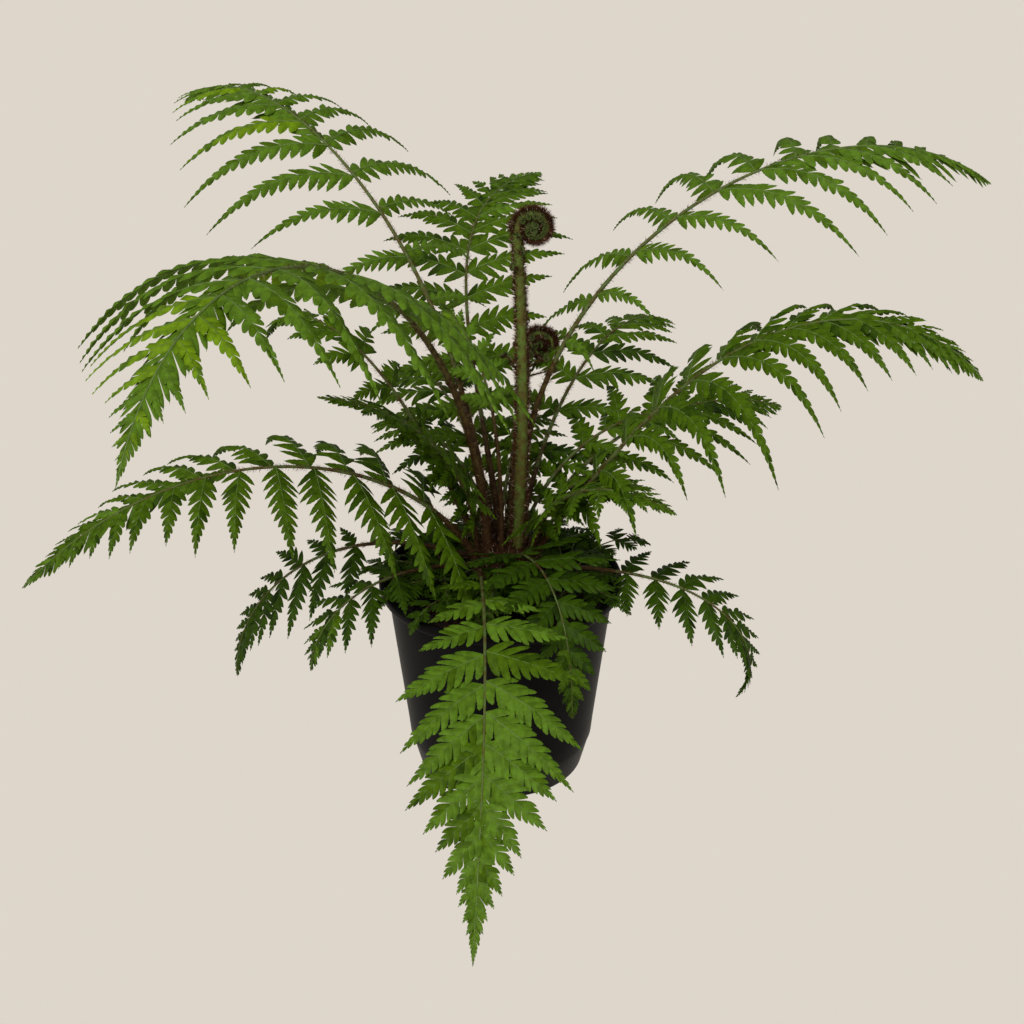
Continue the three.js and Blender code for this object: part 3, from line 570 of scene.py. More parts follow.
class Heap:
    """Gathers many small closed shapes, to be joined into one piece."""

    def __init__(self):
        self.points = []
        self.faces = []
        self.shades = []
        self.count = 0

    def add(self, rings, tips=None, shade=0, flip=False):
        """Adds tubes given as rings of points (tubes, rings, corners, 3), with pointed or flat ends."""
        tubes, depth, corners = rings.shape[:3]
        points = rings.reshape(tubes, depth * corners, 3)
        if tips is not None:
            points = np.concatenate((points, tips[:, None]), 1)
        starts = self.count + points.shape[1] * np.arange(tubes)
        shades = np.broadcast_to(shade, (tubes,))
        for block in tube_faces(depth, corners, tips is not None):
            block = block[:, ::-1] if flip else block
            faces = (starts[:, None, None] + block[None]).reshape(-1, block.shape[1])
            self.faces.append(faces)
            self.shades.append(np.repeat(shades, len(block)))
        self.points.append(points.reshape(-1, 3))
        self.count += points.shape[0] * points.shape[1]

    def piece(self, name, materials, angle=60, centre=CROWN):
        """Joins all into one smooth-shaded piece, with the materials that its faces use."""
        used, index = np.unique(np.concatenate(self.shades), return_inverse=True)
        mesh = bpy.data.meshes.new(name)
        faces = [row for block in self.faces for row in block.tolist()]
        mesh.from_pydata((np.concatenate(self.points) + centre) * MM, [], faces)
        for shade in used:
            mesh.materials.append(materials[int(shade)])
        mesh.polygons.foreach_set("material_index", index.astype(np.int32))
        piece = bpy.data.objects.new(name, mesh)
        bpy.context.scene.collection.objects.link(piece)
        pick(piece)
        bpy.ops.object.shade_smooth_by_angle(angle=math.radians(angle))
        return piece


def pick(piece):
    """Makes a piece the only thing selected."""
    if bpy.context.mode != "OBJECT":
        bpy.ops.object.mode_set(mode="OBJECT")
    bpy.ops.object.select_all(action="DESELECT")
    piece.select_set(True)
    bpy.context.view_layer.objects.active = piece


def settle(piece, nodes):
    """Fixes a piece to the plant's one body, in place of the frame's nodes."""
    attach(piece, "root")
    if nodes:
        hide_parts(*nodes)


def apply_modifier(piece, kind, **values):
    """Adds a modifier to a piece and applies it."""
    modifier = piece.modifiers.new(kind.title(), kind)
    for name, value in values.items():
        setattr(modifier, name, value)
    bpy.ops.object.modifier_apply(modifier=modifier.name)


def roughen(piece, grain, depth):
    """Gives a piece the relief of bark or crumbs by a cloudy displacement of that grain and depth."""
    clouds = bpy.data.textures.new(f"{piece.name}_grain", "CLOUDS")
    clouds.noise_scale = grain
    pick(piece)
    apply_modifier(piece, "DISPLACE", texture=clouds, strength=depth, mid_level=0.5, texture_coords="LOCAL")


# Shader effects

def new_group(name, inputs, outputs):
    """A shader node group with named sockets, given as (name, kind) and (name, kind, default)."""
    group = bpy.data.node_groups.new(name, "ShaderNodeTree")
    for title, kind, default in inputs:
        socket = group.interface.new_socket(title, in_out="INPUT", socket_type=kind)
        socket.default_value = default
    for title, kind in outputs:
        group.interface.new_socket(title, in_out="OUTPUT", socket_type=kind)
    return group, group.nodes.new("NodeGroupInput"), group.nodes.new("NodeGroupOutput")


def wire(tree, *links):
    """Joins sockets, given as (node, output, node, input)."""
    for source, output, target, entry in links:
        tree.links.new(source.outputs[output], target.inputs[entry])


def add_node(tree, kind, values=None, **traits):
    """A shader node with its traits, and with values on its input sockets."""
    node = tree.nodes.new(f"ShaderNode{kind}")
    for name, trait in traits.items():
        setattr(node, name, trait)
    for socket, value in (values or {}).items():
        node.inputs[socket].default_value = value
    return node


def mottle_group():
    """Patches of two colours with uneven gloss and a fine grain, on Object coordinates."""
    found = bpy.data.node_groups.get("Mottle")
    if found:
        return found
    group, given, result = new_group(
        "Mottle",
        (("Colour", "NodeSocketColor", (1, 1, 1, 1)), ("Patches", "NodeSocketColor", (0, 0, 0, 1)),
         ("Patch Size", "NodeSocketFloat", 100.0), ("Grain Size", "NodeSocketFloat", 900.0),
         ("Smooth", "NodeSocketFloat", 0.4), ("Rough", "NodeSocketFloat", 0.6)),
        (("Colour", "NodeSocketColor"), ("Roughness", "NodeSocketFloat"), ("Height", "NodeSocketFloat")))
    place = add_node(group, "TexCoord")
    patches = add_node(group, "TexNoise", {"Detail": 3})
    grain = add_node(group, "TexNoise", {"Detail": 2})
    spread = add_node(group, "MapRange", {"From Min": 0.35, "From Max": 0.65})
    mix = add_node(group, "Mix", data_type="RGBA")
    gloss = add_node(group, "MapRange")
    wire(
        group,
        (place, "Object", patches, "Vector"), (place, "Object", grain, "Vector"),
        (given, "Patch Size", patches, "Scale"), (given, "Grain Size", grain, "Scale"),
        (patches, "Fac", spread, "Value"), (spread, "Result", mix, "Factor"),
        (given, "Colour", mix, "A"), (given, "Patches", mix, "B"),
        (grain, "Fac", gloss, "Value"), (given, "Smooth", gloss, "To Min"), (given, "Rough", gloss, "To Max"),
        (mix, "Result", result, "Colour"), (gloss, "Result", result, "Roughness"),
        (grain, "Fac", result, "Height"))
    return group


def age_group():
    """A colour that runs from brown at the crown over olive to green further out, on Object coordinates."""
    found = bpy.data.node_groups.get("Age")
    if found:
        return found
    group, given, result = new_group(
        "Age",
        (("Near", "NodeSocketColor", (1, 1, 1, 1)), ("Middle", "NodeSocketColor", (1, 1, 1, 1)),
         ("Far", "NodeSocketColor", (1, 1, 1, 1)), ("Start", "NodeSocketFloat", 0.05),
         ("End", "NodeSocketFloat", 0.3)),
        (("Colour", "NodeSocketColor"),))
    place = add_node(group, "TexCoord")
    crown = (CROWN[0] * MM, CROWN[1] * MM, CROWN_HEIGHT * MM)
    away = add_node(group, "VectorMath", {1: crown}, operation="DISTANCE")
    ripple = add_node(group, "TexNoise", {"Scale": 60})
    shaken = add_node(group, "Math", {1: AGE_RIPPLE}, operation="MULTIPLY_ADD")
    age = add_node(group, "MapRange")
    first_half = add_node(group, "MapRange", {"From Min": 0, "From Max": 0.5})
    second_half = add_node(group, "MapRange", {"From Min": 0.5, "From Max": 1})
    first = add_node(group, "Mix", data_type="RGBA")
    second = add_node(group, "Mix", data_type="RGBA")
    wire(
        group,
        (place, "Object", away, 0), (place, "Object", ripple, "Vector"),
        (ripple, "Fac", shaken, 0), (away, "Value", shaken, 2), (shaken, "Value", age, "Value"),
        (given, "Start", age, "From Min"), (given, "End", age, "From Max"),
        (age, "Result", first_half, "Value"), (age, "Result", second_half, "Value"),
        (first_half, "Result", first, "Factor"), (given, "Near", first, "A"), (given, "Middle", first, "B"),
        (second_half, "Result", second, "Factor"), (first, "Result", second, "A"),
        (given, "Far", second, "B"), (second, "Result", result, "Colour"))
    return group


def opaque(colour):
    return (*colour[:3], 1)


def scaled(colour, share):
    """A colour made darker or lighter."""
    return tuple(min(1, part * share) for part in colour[:3])


def new_material(name):
    """A material and its shader node."""
    material = bpy.data.materials.new(name)
    material.use_nodes = True
    return material, material.node_tree.nodes["Principled BSDF"]


class Finish(NamedTuple):
    """How a surface is mottled: its patches and grain to the metre, its gloss and its fine relief."""

    patch_size: float
    grain_size: float
    smooth: float
    rough: float
    bump: float = 0.2
    bump_depth: float = 0.0003
    specular: float = 0.12


PLASTIC = Finish(14, 1100, 0.34, 0.5, bump=0.08, specular=0.028)
MIX = Finish(240, 900, 0.7, 0.95, bump=0.8, bump_depth=0.001)
CHIP = Finish(320, 1300, 0.65, 0.9, bump=0.5)
BARK = Finish(260, 1200, 0.6, 0.9, bump=0.6)
STALK = Finish(220, 1400, 0.45, 0.7, bump=0.4)
YOUNG_STALK = Finish(150, 1400, 0.4, 0.6, bump=0.3)
CURL = Finish(420, 1800, 0.5, 0.75, bump=0.6)
SCALE = Finish(300, 1500, 0.55, 0.8)
LEAF = Finish(170, 1500, 0.42, 0.62, bump=0.3, specular=0.065)
RIB = Finish(160, 1200, 0.45, 0.6)

# Light and dark patches, as shares of a colour
LEAF_TINTS = (1.22, 0.74)
SCALE_TINTS = (1.2, 0.7)
RIB_DARK = 0.7
CHIP_DARK = 0.5

# How far a noise shifts the colours of a stalk along it, in metres
AGE_RIPPLE = 0.12


def mottled(name, colour, patches, finish, ages=None):
    """A material of mottled colour with uneven gloss and a fine grain, or one that ages along its stalk."""
    found = bpy.data.materials.get(name)
    if found:
        return found
    material, shader = new_material(name)
    tree = material.node_tree
    values = {"Colour": opaque(colour), "Patches": opaque(patches), "Patch Size": finish.patch_size,
              "Grain Size": finish.grain_size, "Smooth": finish.smooth, "Rough": finish.rough}
    mottle = add_node(tree, "Group", values, node_tree=mottle_group())
    relief = add_node(tree, "Bump", {"Strength": finish.bump, "Distance": finish.bump_depth})
    shader.inputs["Specular IOR Level"].default_value = finish.specular
    if ages:
        age = add_node(tree, "Group", ages, node_tree=age_group())
        wire(tree, (age, "Colour", mottle, "Colour"))
    wire(
        tree,
        (mottle, "Colour", shader, "Base Color"), (mottle, "Roughness", shader, "Roughness"),
        (mottle, "Height", relief, "Height"), (relief, "Normal", shader, "Normal"))
    return material


def two_toned(name, colour, light, dark, finish):
    """A mottled material with lighter and darker patches of one colour."""
    return mottled(name, scaled(colour, light), scaled(colour, dark), finish)


def ages_to(far, start, end):
    """Colours of a stalk from the crown to a far colour, between two distances in metres."""
    wood = settings().wood
    return {"Near": opaque(wood.stalk_base), "Middle": opaque(wood.stalk_middle), "Far": opaque(far),
            "Start": start, "End": end}


def leaf_materials():
    """One material for each shade of leaf, from painted deep shade to young growth in painted light."""
    leaf = settings().leaf
    return [two_toned(f"leaf_{shade}", getattr(leaf, shade), *LEAF_TINTS, LEAF) for shade in SHADES]


def rib_materials():
    """Ribs of smooth fronds, of light and of painted-shade dark leaflets and of hairy fronds, in their
    numbers' order.
    """
    rib = settings().leaf.rib
    leaflet_ribs = [two_toned(name, rib, share, share * RIB_DARK, RIB)
                    for name, share in (("leaflet_rib", 0.9), ("leaflet_rib_dark", 0.45))]
    smooth, hairy = [mottled(name, rib, scaled(rib, 0.6), RIB, ages_to(rib, start=0.12, end=end))
                     for name, end in (("smooth_rib", 0.42), ("hairy_rib", 0.54))]
    return [smooth, *leaflet_ribs, hairy]


def stalk_material():
    wood = settings().wood
    return mottled("stalk_bark", wood.stalk_middle, scaled(wood.stalk_base, 0.6), STALK,
                   ages_to(wood.stalk_end, start=0.07, end=0.4))


def young_stalk_material():
    wood = settings().wood
    return mottled("young_stalk", wood.crozier, wood.stalk_middle, YOUNG_STALK)


def curl_material():
    wood = settings().wood
    return mottled("silvery_curl", wood.curl, scaled(wood.crozier, 0.5), CURL)


def scale_materials():
    """Brown, dark and pale scales, in the order that the heaps of scales number them."""
    wood = settings().wood
    rows = (("scale_brown", wood.scale), ("scale_dark", wood.scale_dark), ("scale_pale", wood.scale_pale))
    return [two_toned(name, colour, *SCALE_TINTS, SCALE) for name, colour in rows]


def dress(piece, material):
    """Gives a piece its one material."""
    piece.data.materials.clear()
    piece.data.materials.append(material)


# Leaves

class LobeShape(NamedTuple):
    """Half outline of a lobe: stations past the cut as shares of what is left, and its widths there."""

    stations: np.ndarray
    widths: np.ndarray


# Outline of a toothed lobe: first and last notch, widths at its foot and in a notch, and how it narrows
TEETH = 3
NOTCHES = (0.1, 0.94)
FOOT_WIDTH = 0.97
NOTCH_WIDTH = 0.88
NARROWING = 1.8


def toothed_lobe(blunt):
    """A lobe with teeth on both edges that narrows to its point, late where it is blunt."""
    notches = np.linspace(*NOTCHES, 2 * TEETH)
    body = FOOT_WIDTH * (1 - notches ** blunt) ** (NARROWING / blunt)
    bite = np.where(np.arange(2 * TEETH) % 2 == 0, NOTCH_WIDTH, 1.0)
    return LobeShape(notches, body * bite)


PLAIN_LOBE = LobeShape(np.array((0.45, 0.85)), np.array((0.74, 0.28)))
FINE_LOBE = toothed_lobe(2.1)
BLUNT_LOBE = toothed_lobe(3.8)


def add_lobes(heap, line, hand, count, reach, shape, cut, lean, roof, shade, chance):
    """Lobes side by side along one hand of a rib, joined at their feet, each a thin puffed blade."""
    leaf = settings().leaf
    ends = 1 - (1 - np.arange(count + 1) / count) ** LOBE_CROWDING
    pitch = np.diff(ends)[:, None] * line.length
    share = (ends[:-1] + ends[1:]) / 2
    out = reach(share)[:, None] * (1 + CHANCE_REACH * chance.standard_normal((count, 1)))
    joined = (cut + (JOINED_AT_END - cut) * share ** 3)[:, None]
    u = np.concatenate((np.zeros((count, 1)), joined, joined + (1 - joined) * shape.stations), 1)
    width = np.concatenate(((LOBE_LAP, 1.0), shape.widths))[None] * pitch / 2
    slant = lean * (1 + LOBE_LEAN_GAIN * share[:, None]) + CHANCE_SLANT * chance.standard_normal((count, 1))
    forward = out * (slant * u + LOBE_HOOK * u ** 2)
    tilt = roof + CHANCE_TILT * chance.standard_normal((count, 1))
    fall = -tilt * out * u - LOBE_DROOP * out * u ** 2
    puff = leaf.puff * width * np.minimum(1, PUFF_RISE * u + PUFF_FOOT)
    thickness = leaf.thickness / MM * (LOBE_FOOT_THICK - u)
    base = share[:, None] * line.length

    def place(x, y, z):
        point, _, across, up = line.at((base + x) / line.length)
        return point + across * (hand * y)[..., None] + up * z[..., None]

    y = out * u
    corners = (
        place(forward - width, y, fall), place(forward, y, fall + puff),
        place(forward + width, y, fall), place(forward, y, fall + puff - thickness))
    end = slant + LOBE_HOOK + LOBE_POINT
    tips = place(out * end, out, -tilt * out - LOBE_DROOP * out)[:, 0]
    facing = np.dot(np.cross(line.along[0], line.across[0] * hand), line.up[0])
    shades = np.maximum(shade - (chance.random(count) < CHANCE_DARKER), 0)
    heap.add(np.stack(corners, 2), tips, shades, flip=facing < 0)


def add_rib(heap, line, start, end, first, last, rings, corners=5, raised=0.3, shade=SMOOTH_RIB):
    """A tapering rib along part of a line, a little above the blade."""
    shares = np.linspace(start, end, rings)
    point, _, across, up = line.at(shares)
    radius = np.linspace(first, last, rings)[:, None, None]
    turns = 2 * np.pi * np.arange(corners) / corners
    facing = np.sign(np.dot(np.cross(across[0], up[0]), line.along[0]))
    around = across[:, None] * np.cos(turns)[:, None] + up[:, None] * np.sin(turns)[:, None] * facing
    rows = point[:, None] + up[:, None] * radius * raised + around * radius
    heap.add(rows[None], shade=shade)


def add_pinna(leaves, ribs, line, leaflet, frond, shade, chance):
    """One leaflet: toothed lobes on both hands of its rib, or plain teeth where it is small."""
    lean = settings().leaf.lean
    width = leaflet.width
    count = int(np.clip(round(FIRST_LOBES + line.length / LOBE_SPACING), *LOBE_COUNTS))
    shape = PLAIN_LOBE
    if width > TOOTHED_WIDTH and frond.half > TOOTHED_HALF:
        shape = FINE_LOBE if frond.hairy else BLUNT_LOBE
    narrow_cut = np.interp(width, NARROW_WIDTHS, (NARROW_JOINED, frond.cut))
    late_cut = np.interp(leaflet.share, LATE_SHARES, (frond.cut, LATE_JOINED))
    cut = max(narrow_cut, late_cut)
    roof = frond.roof + CHANCE_ROOF * chance.standard_normal()

    def reach(share):
        foot = np.minimum(1, PINNA_FOOT + PINNA_LATE_FOOT * leaflet.share + PINNA_WIDENING * share)
        body = foot * (1 - share ** frond.full) ** PINNA_NARROWING
        return width * (body + PINNA_EDGE * (1 - share))

    for hand in (-1, 1):
        add_lobes(leaves, line, hand, count, reach, shape, cut, lean, roof, shade, chance)
    radius = np.clip(line.length / PINNA_RIB_SLIMNESS, *PINNA_RIB_RADII)
    rings = 12 if line.length > PINNA_RIB_LONG else 4
    # Leaflets of the darker shades get the darker rib, so their painted shade runs over the rib too
    add_rib(ribs, line, 0, PINNA_RIB_SHARE, radius, PINNA_RIB_POINT, rings,
            shade=LIGHT_RIB if shade > 1 else DARK_RIB)


def add_tail(leaves, frond, rib, shade, chance):
    """The toothed wing of a blade's rib, narrow where it starts, in place of leaflets at the end."""
    start = (frond.stalk + frond.blade * TAIL_START) / frond.length
    line = Line(*rib.at(np.linspace(start, 1, LEAFLET_STEPS)), frond.blade * (1 - TAIL_START))
    count = int(np.clip(round(line.length / TAIL_TOOTH), *TAIL_COUNTS))

    def reach(share):
        place = TAIL_START + (1 - TAIL_START) * share
        return TAIL_LEAST + reach_at(frond, place) * np.interp(place, TAIL_SHARES, TAIL_REACH)

    for hand in (-1, 1):
        add_lobes(leaves, line, hand, count, reach, PLAIN_LOBE, TAIL_JOINED, TAIL_LEAN, frond.roof, shade,
                  chance)


def frond_shade(frond, share, chance):
    """Shade number: painted shade near the crown, lighter towards the frond's end, with some chance."""
    shade = frond.shade + SHADE_GAIN * (share - SHADE_MIDDLE) + CHANCE_SHADE * chance.standard_normal()
    return int(np.clip(round(shade), 0, len(SHADES) - 1))


def add_frond(leaves, ribs, frond, seed):
    """A frond's blade: its rib, and its leaflets that shrink to its very end."""
    chance = np.random.default_rng(seed)
    rib = rib_line(frond)
    for leaflet in leaflets_of(frond, seed):
        shade = frond_shade(frond, leaflet.share, chance)
        add_pinna(leaves, ribs, leaflet_line(frond, rib, leaflet), leaflet, frond, shade, chance)
    add_tail(leaves, frond, rib, round(frond.shade), chance)
    foot = frond.stalk / frond.length
    rings = max(8, round(frond.length / RIB_RING))
    radius = frond.rib_radius * (HAIRY_RIB_SIZE if frond.hairy else SMOOTH_RIB_SIZE)
    add_rib(ribs, rib, foot, 1, radius, RIB_POINT, rings, corners=7, raised=0.1,
            shade=HAIRY_RIB if frond.hairy else SMOOTH_RIB)
    return rib


def smaller(frond, turn, share):
    """A smaller frond that springs beside the given one, turned from it."""
    return frond._replace(
        heading=frond.heading + turn, seat=frond.bearing + turn * SISTER_SEAT,
        stalk=frond.stalk * share * SISTER_STALK, blade=frond.blade * share, half=frond.half * share,
        rise=frond.rise + SISTER_RISE * share)


def add_small_frond(leaves, ribs, frond, seed):
    """A small frond with its stalk and blade in one piece."""
    rib = add_frond(leaves, ribs, frond, seed)
    foot = frond.stalk / frond.length
    add_rib(ribs, rib, 0, foot, frond.stalk_radius * SMALL_STALK, frond.rib_radius * SMALL_RIB, 7, raised=0)


# Scales and hairs

def add_hairs(heap, roots, ways, lengths, radius, shades):
    """Slim three-sided hairs from their roots along their ways."""
    ways = unit(ways)
    helper = np.where(np.abs(ways[:, 2:]) > 0.8, np.array((1.0, 0, 0)), np.array((0, 0, 1.0)))
    side = unit(np.cross(ways, helper))
    over = np.cross(ways, side)
    turns = 2 * np.pi * np.arange(3) / 3
    rows = [roots + (side * math.cos(turn) + over * math.sin(turn)) * radius for turn in turns]
    heap.add(np.stack(rows, 1)[:, None], roots + ways * lengths[:, None], shades)


def hairs_along(heap, line, count, start, end, radii, length, chance, bands=None, radius=0.2):
    """Hairs all round a stalk, or in bands along its upper and under side, denser near its foot."""
    share = start + (end - start) * chance.random(count) ** HAIR_CROWDING
    point, along, across, up = line.at(share)
    turn = chance.random(count) * 2 * np.pi
    if bands:
        turn = np.where(chance.random(count) < 0.5, np.pi, -np.pi) / 2 + bands * chance.standard_normal(count)
    out = across * np.cos(turn)[:, None] + up * np.sin(turn)[:, None]
    thick = np.interp(share, (0, 1), radii)[:, None]
    roots = point + out * thick * HAIR_SUNK
    lean = along * (HAIR_LEAN + HAIR_LEAN * chance.random((count, 1)))
    lengths = length * (HAIR_SHORTEST + (1 - HAIR_SHORTEST) * chance.random(count))
    ways = out + lean + CHANCE_HAIR * chance.standard_normal((count, 3))
    add_hairs(heap, roots, ways, lengths, radius, chance.choice(len(HAIR_ODDS), count, p=HAIR_ODDS))


# Round pieces

def turned_piece(name, rings, sides):
    """A closed round piece, drawn up ring by ring from a flat foot and closed at the last one."""
    bpy.ops.object.select_all(action="DESELECT")
    radius, height = rings[0]
    bpy.ops.mesh.primitive_circle_add(
        vertices=sides, radius=radius, fill_type="NGON", location=(0, 0, height))
    piece = bpy.context.object
    piece.name = name
    piece.data.name = name
    bpy.ops.object.transform_apply(location=True)
    bpy.ops.object.mode_set(mode="EDIT")
    bpy.ops.mesh.select_mode(type="EDGE")
    for (before, low), (after, high) in zip(rings, rings[1:]):
        bpy.ops.mesh.extrude_edges_move(TRANSFORM_OT_translate={"value": (0, 0, high - low)})
        share = after / before
        bpy.ops.transform.resize(value=(share, share, 1))
    bpy.ops.mesh.edge_face_add()
    bpy.ops.mesh.select_all(action="SELECT")
    bpy.ops.mesh.normals_make_consistent(inside=False)
    bpy.ops.object.mode_set(mode="OBJECT")
    return piece


def pot_radius_at(pot, height):
    """Outer radius of the pot's wall at a height."""
    return float(np.interp(height, (0, pot.heel_height, pot.height - pot.lip_height),
                           (pot.foot_radius, pot.heel_radius, pot.shoulder_radius)))


class FERN_OT_pot(bpy.types.Operator):
    """Makes the nursery pot with its rolled rim and drain holes"""

    bl_idname = "potted_fern.pot"
    bl_label = "Pot"

    sides = 96
    rim_steps = 9
    wall_steps = 9
    foot_bevel = 0.0015
    foot_rise = 0.001
    heel_blend = 0.0006
    heel_rise = 0.003
    drain_holes = 6
    drain_sides = 24
    drain_radius = 0.006
    drain_ring = 0.05

    def execute(self, context):
        pot = settings().pot
        piece = turned_piece("pot_shell", self.outer_rings(pot) + self.inner_rings(pot), self.sides)
        self.cut_drains(piece, pot)
        pick(piece)
        bpy.ops.object.shade_smooth_by_angle(angle=math.radians(50))
        dress(piece, mottled("pot_plastic", pot.plastic, pot.dust, PLASTIC))
        settle(piece, ["pot"])
        return {"FINISHED"}

    def outer_rings(self, pot):
        """Radius and height of the rings from the foot up to the rim's band."""
        lip_foot = pot.height - pot.lip_height
        heights = np.linspace(pot.heel_height, lip_foot, self.wall_steps)[1:]
        return [
            (pot.foot_radius - self.foot_bevel, 0), (pot.foot_radius, self.foot_rise),
            (pot.heel_radius - self.heel_blend, pot.heel_height),
            (pot.heel_radius + self.heel_blend, pot.heel_height + self.heel_rise),
            *((pot_radius_at(pot, height), height) for height in heights),
            (pot.rim_radius - pot.lip_round / 2, lip_foot), (pot.rim_radius, lip_foot + pot.lip_round)]

    def inner_rings(self, pot):
        """Radius and height of the rings over the rim's round top and down to the pot's floor."""
        lip_foot = pot.height - pot.lip_height
        centre = pot.rim_radius - pot.lip_round
        arc = [(centre + pot.lip_round * math.cos(turn), pot.height - pot.lip_round * (1 - math.sin(turn)))
               for turn in np.linspace(0, np.pi, self.rim_steps)]
        return [
            *arc, (pot_radius_at(pot, lip_foot) - pot.wall, lip_foot),
            (pot.heel_radius - pot.wall, pot.heel_height),
            (pot_radius_at(pot, pot.floor) - pot.wall, pot.floor)]

    def cut_drains(self, piece, pot):
        """Cuts the ring of drain holes through the pot's floor."""
        bpy.ops.object.select_all(action="DESELECT")
        drills = []
        for turn in 2 * np.pi * np.arange(self.drain_holes) / self.drain_holes:
            place = (self.drain_ring * math.cos(turn), self.drain_ring * math.sin(turn), 0)
            bpy.ops.mesh.primitive_cylinder_add(
                vertices=self.drain_sides, radius=self.drain_radius, depth=4 * pot.floor, location=place)
            drills.append(bpy.context.object)
        for drill in drills:
            drill.select_set(True)
        bpy.ops.object.join()
        drill = bpy.context.object
        pick(piece)
        apply_modifier(piece, "BOOLEAN", object=drill, operation="DIFFERENCE", solver="EXACT")
        bpy.data.objects.remove(drill)


class FERN_OT_mix(bpy.types.Operator):
    """Makes the crumbly potting mix and the bark chips on it"""

    bl_idname = "potted_fern.mix"
    bl_label = "Potting mix"

    dish = 3
    dish_width = 12
    clearance = 0.6
    sides = 72
    rings = 22
    middle = 0.06
    heave_seed = 5
    heave_up = 0.9
    heave_aside = 0.6
    chip_seed = 11
    chip_margin = 6
    chip_rise = 2.2
    chip_flatness = (1, 1, 0.28)
    chip_least = 1.2
    chip_more = 2.6
    chip_long = 1.5
    chip_wide = 0.62
    chip_thick = 0.6
    chip_steps = ((-1.0, 0.55), (0.0, 1.0), (0.9, 0.7))
    chip_corners = ((-1, 0.1), (0.1, 0.5), (1, 0), (0, -0.5))
    chip_kinds = (("chip_dark", 0.32), ("chip_brown", 0.75), ("chip_red", 1.35))
    chip_odds = (0.5, 0.32, 0.18)
    chance_chip = 0.3

    def execute(self, context):
        pot = settings().pot

        def inside(height):
            return pot_radius_at(pot, height) - pot.wall - self.clearance * MM

        foot = pot.floor + self.clearance * MM / 2
        level = MIX_LEVEL * MM
        edge = level - self.dish * MM
        rings = [(inside(foot), foot), (inside(pot.heel_height), pot.heel_height), (inside(edge), edge)]
        flat = inside(edge) - self.dish_width * MM
        rings += [(flat * share, level) for share in np.linspace(1, self.middle, self.rings)]
        piece = turned_piece("potting_mix_bed", rings, self.sides)
        self.heave(piece, edge)
        bpy.ops.object.shade_smooth()
        dress(piece, mottled("potting_mix", pot.mix, scaled(pot.chip, 0.5), MIX))
        settle(piece, ["potting_mix"])
        self.add_chips(pot, inside(edge) / MM)
        return {"FINISHED"}

    def heave(self, piece, edge):
        """Makes the top of the bed uneven, and leaves its foot and wall as they are."""
        chance = np.random.default_rng(self.heave_seed)
        points = np.empty(len(piece.data.vertices) * 3)
        piece.data.vertices.foreach_get("co", points)
        points = points.reshape(-1, 3)
        top = points[:, 2] > edge + MM
        points[top, 2] += chance.normal(0, self.heave_up * MM, top.sum())
        points[top, :2] += chance.normal(0, self.heave_aside * MM, (top.sum(), 2))
        piece.data.vertices.foreach_set("co", points.ravel())
        pick(piece)

    def add_chips(self, pot, radius):
        """Scatters bark chips, each a bent four-sided flake, over the bed."""
        chance = np.random.default_rng(self.chip_seed)
        count = pot.chips
        far = (radius - self.chip_margin) * np.sqrt(chance.random(count))
        turn = chance.random(count) * 2 * np.pi
        place = np.stack((far * np.cos(turn), far * np.sin(turn), np.zeros(count)), 1)
        dished = (far - radius + self.dish_width + self.chip_margin) / self.dish_width
        place[:, 2] = MIX_LEVEL + chance.random(count) * self.chip_rise - np.clip(dished, 0, 1) * self.dish
        way = unit(chance.standard_normal((count, 3)) * self.chip_flatness)
        side = unit(np.cross(way, (0, 0, 1.0)) + self.chance_chip * chance.standard_normal((count, 3)))
        up = np.cross(way, side)
        size = self.chip_least + self.chip_more * chance.random((count, 1)) ** 2
        rows = []
        for step, wide in self.chip_steps:
            middle = place + way * size * step * self.chip_long
            ring = []
            for across, high in self.chip_corners:
                jitter = 1 + self.chance_chip * chance.standard_normal((count, 1))
                out = side * size * across * wide * self.chip_wide * jitter
                ring.append(middle + out + up * size * high * self.chip_thick)
            rows.append(np.stack(ring, 1))
        heap = Heap()
        kinds = chance.choice(len(self.chip_odds), count, p=self.chip_odds)
        heap.add(np.stack(rows, 1), shade=kinds, flip=True)
        materials = [two_toned(name, pot.chip, share, share * CHIP_DARK, CHIP)
                     for name, share in self.chip_kinds]
        settle(heap.piece("bark_chips", materials, angle=40, centre=np.zeros(3)), [])


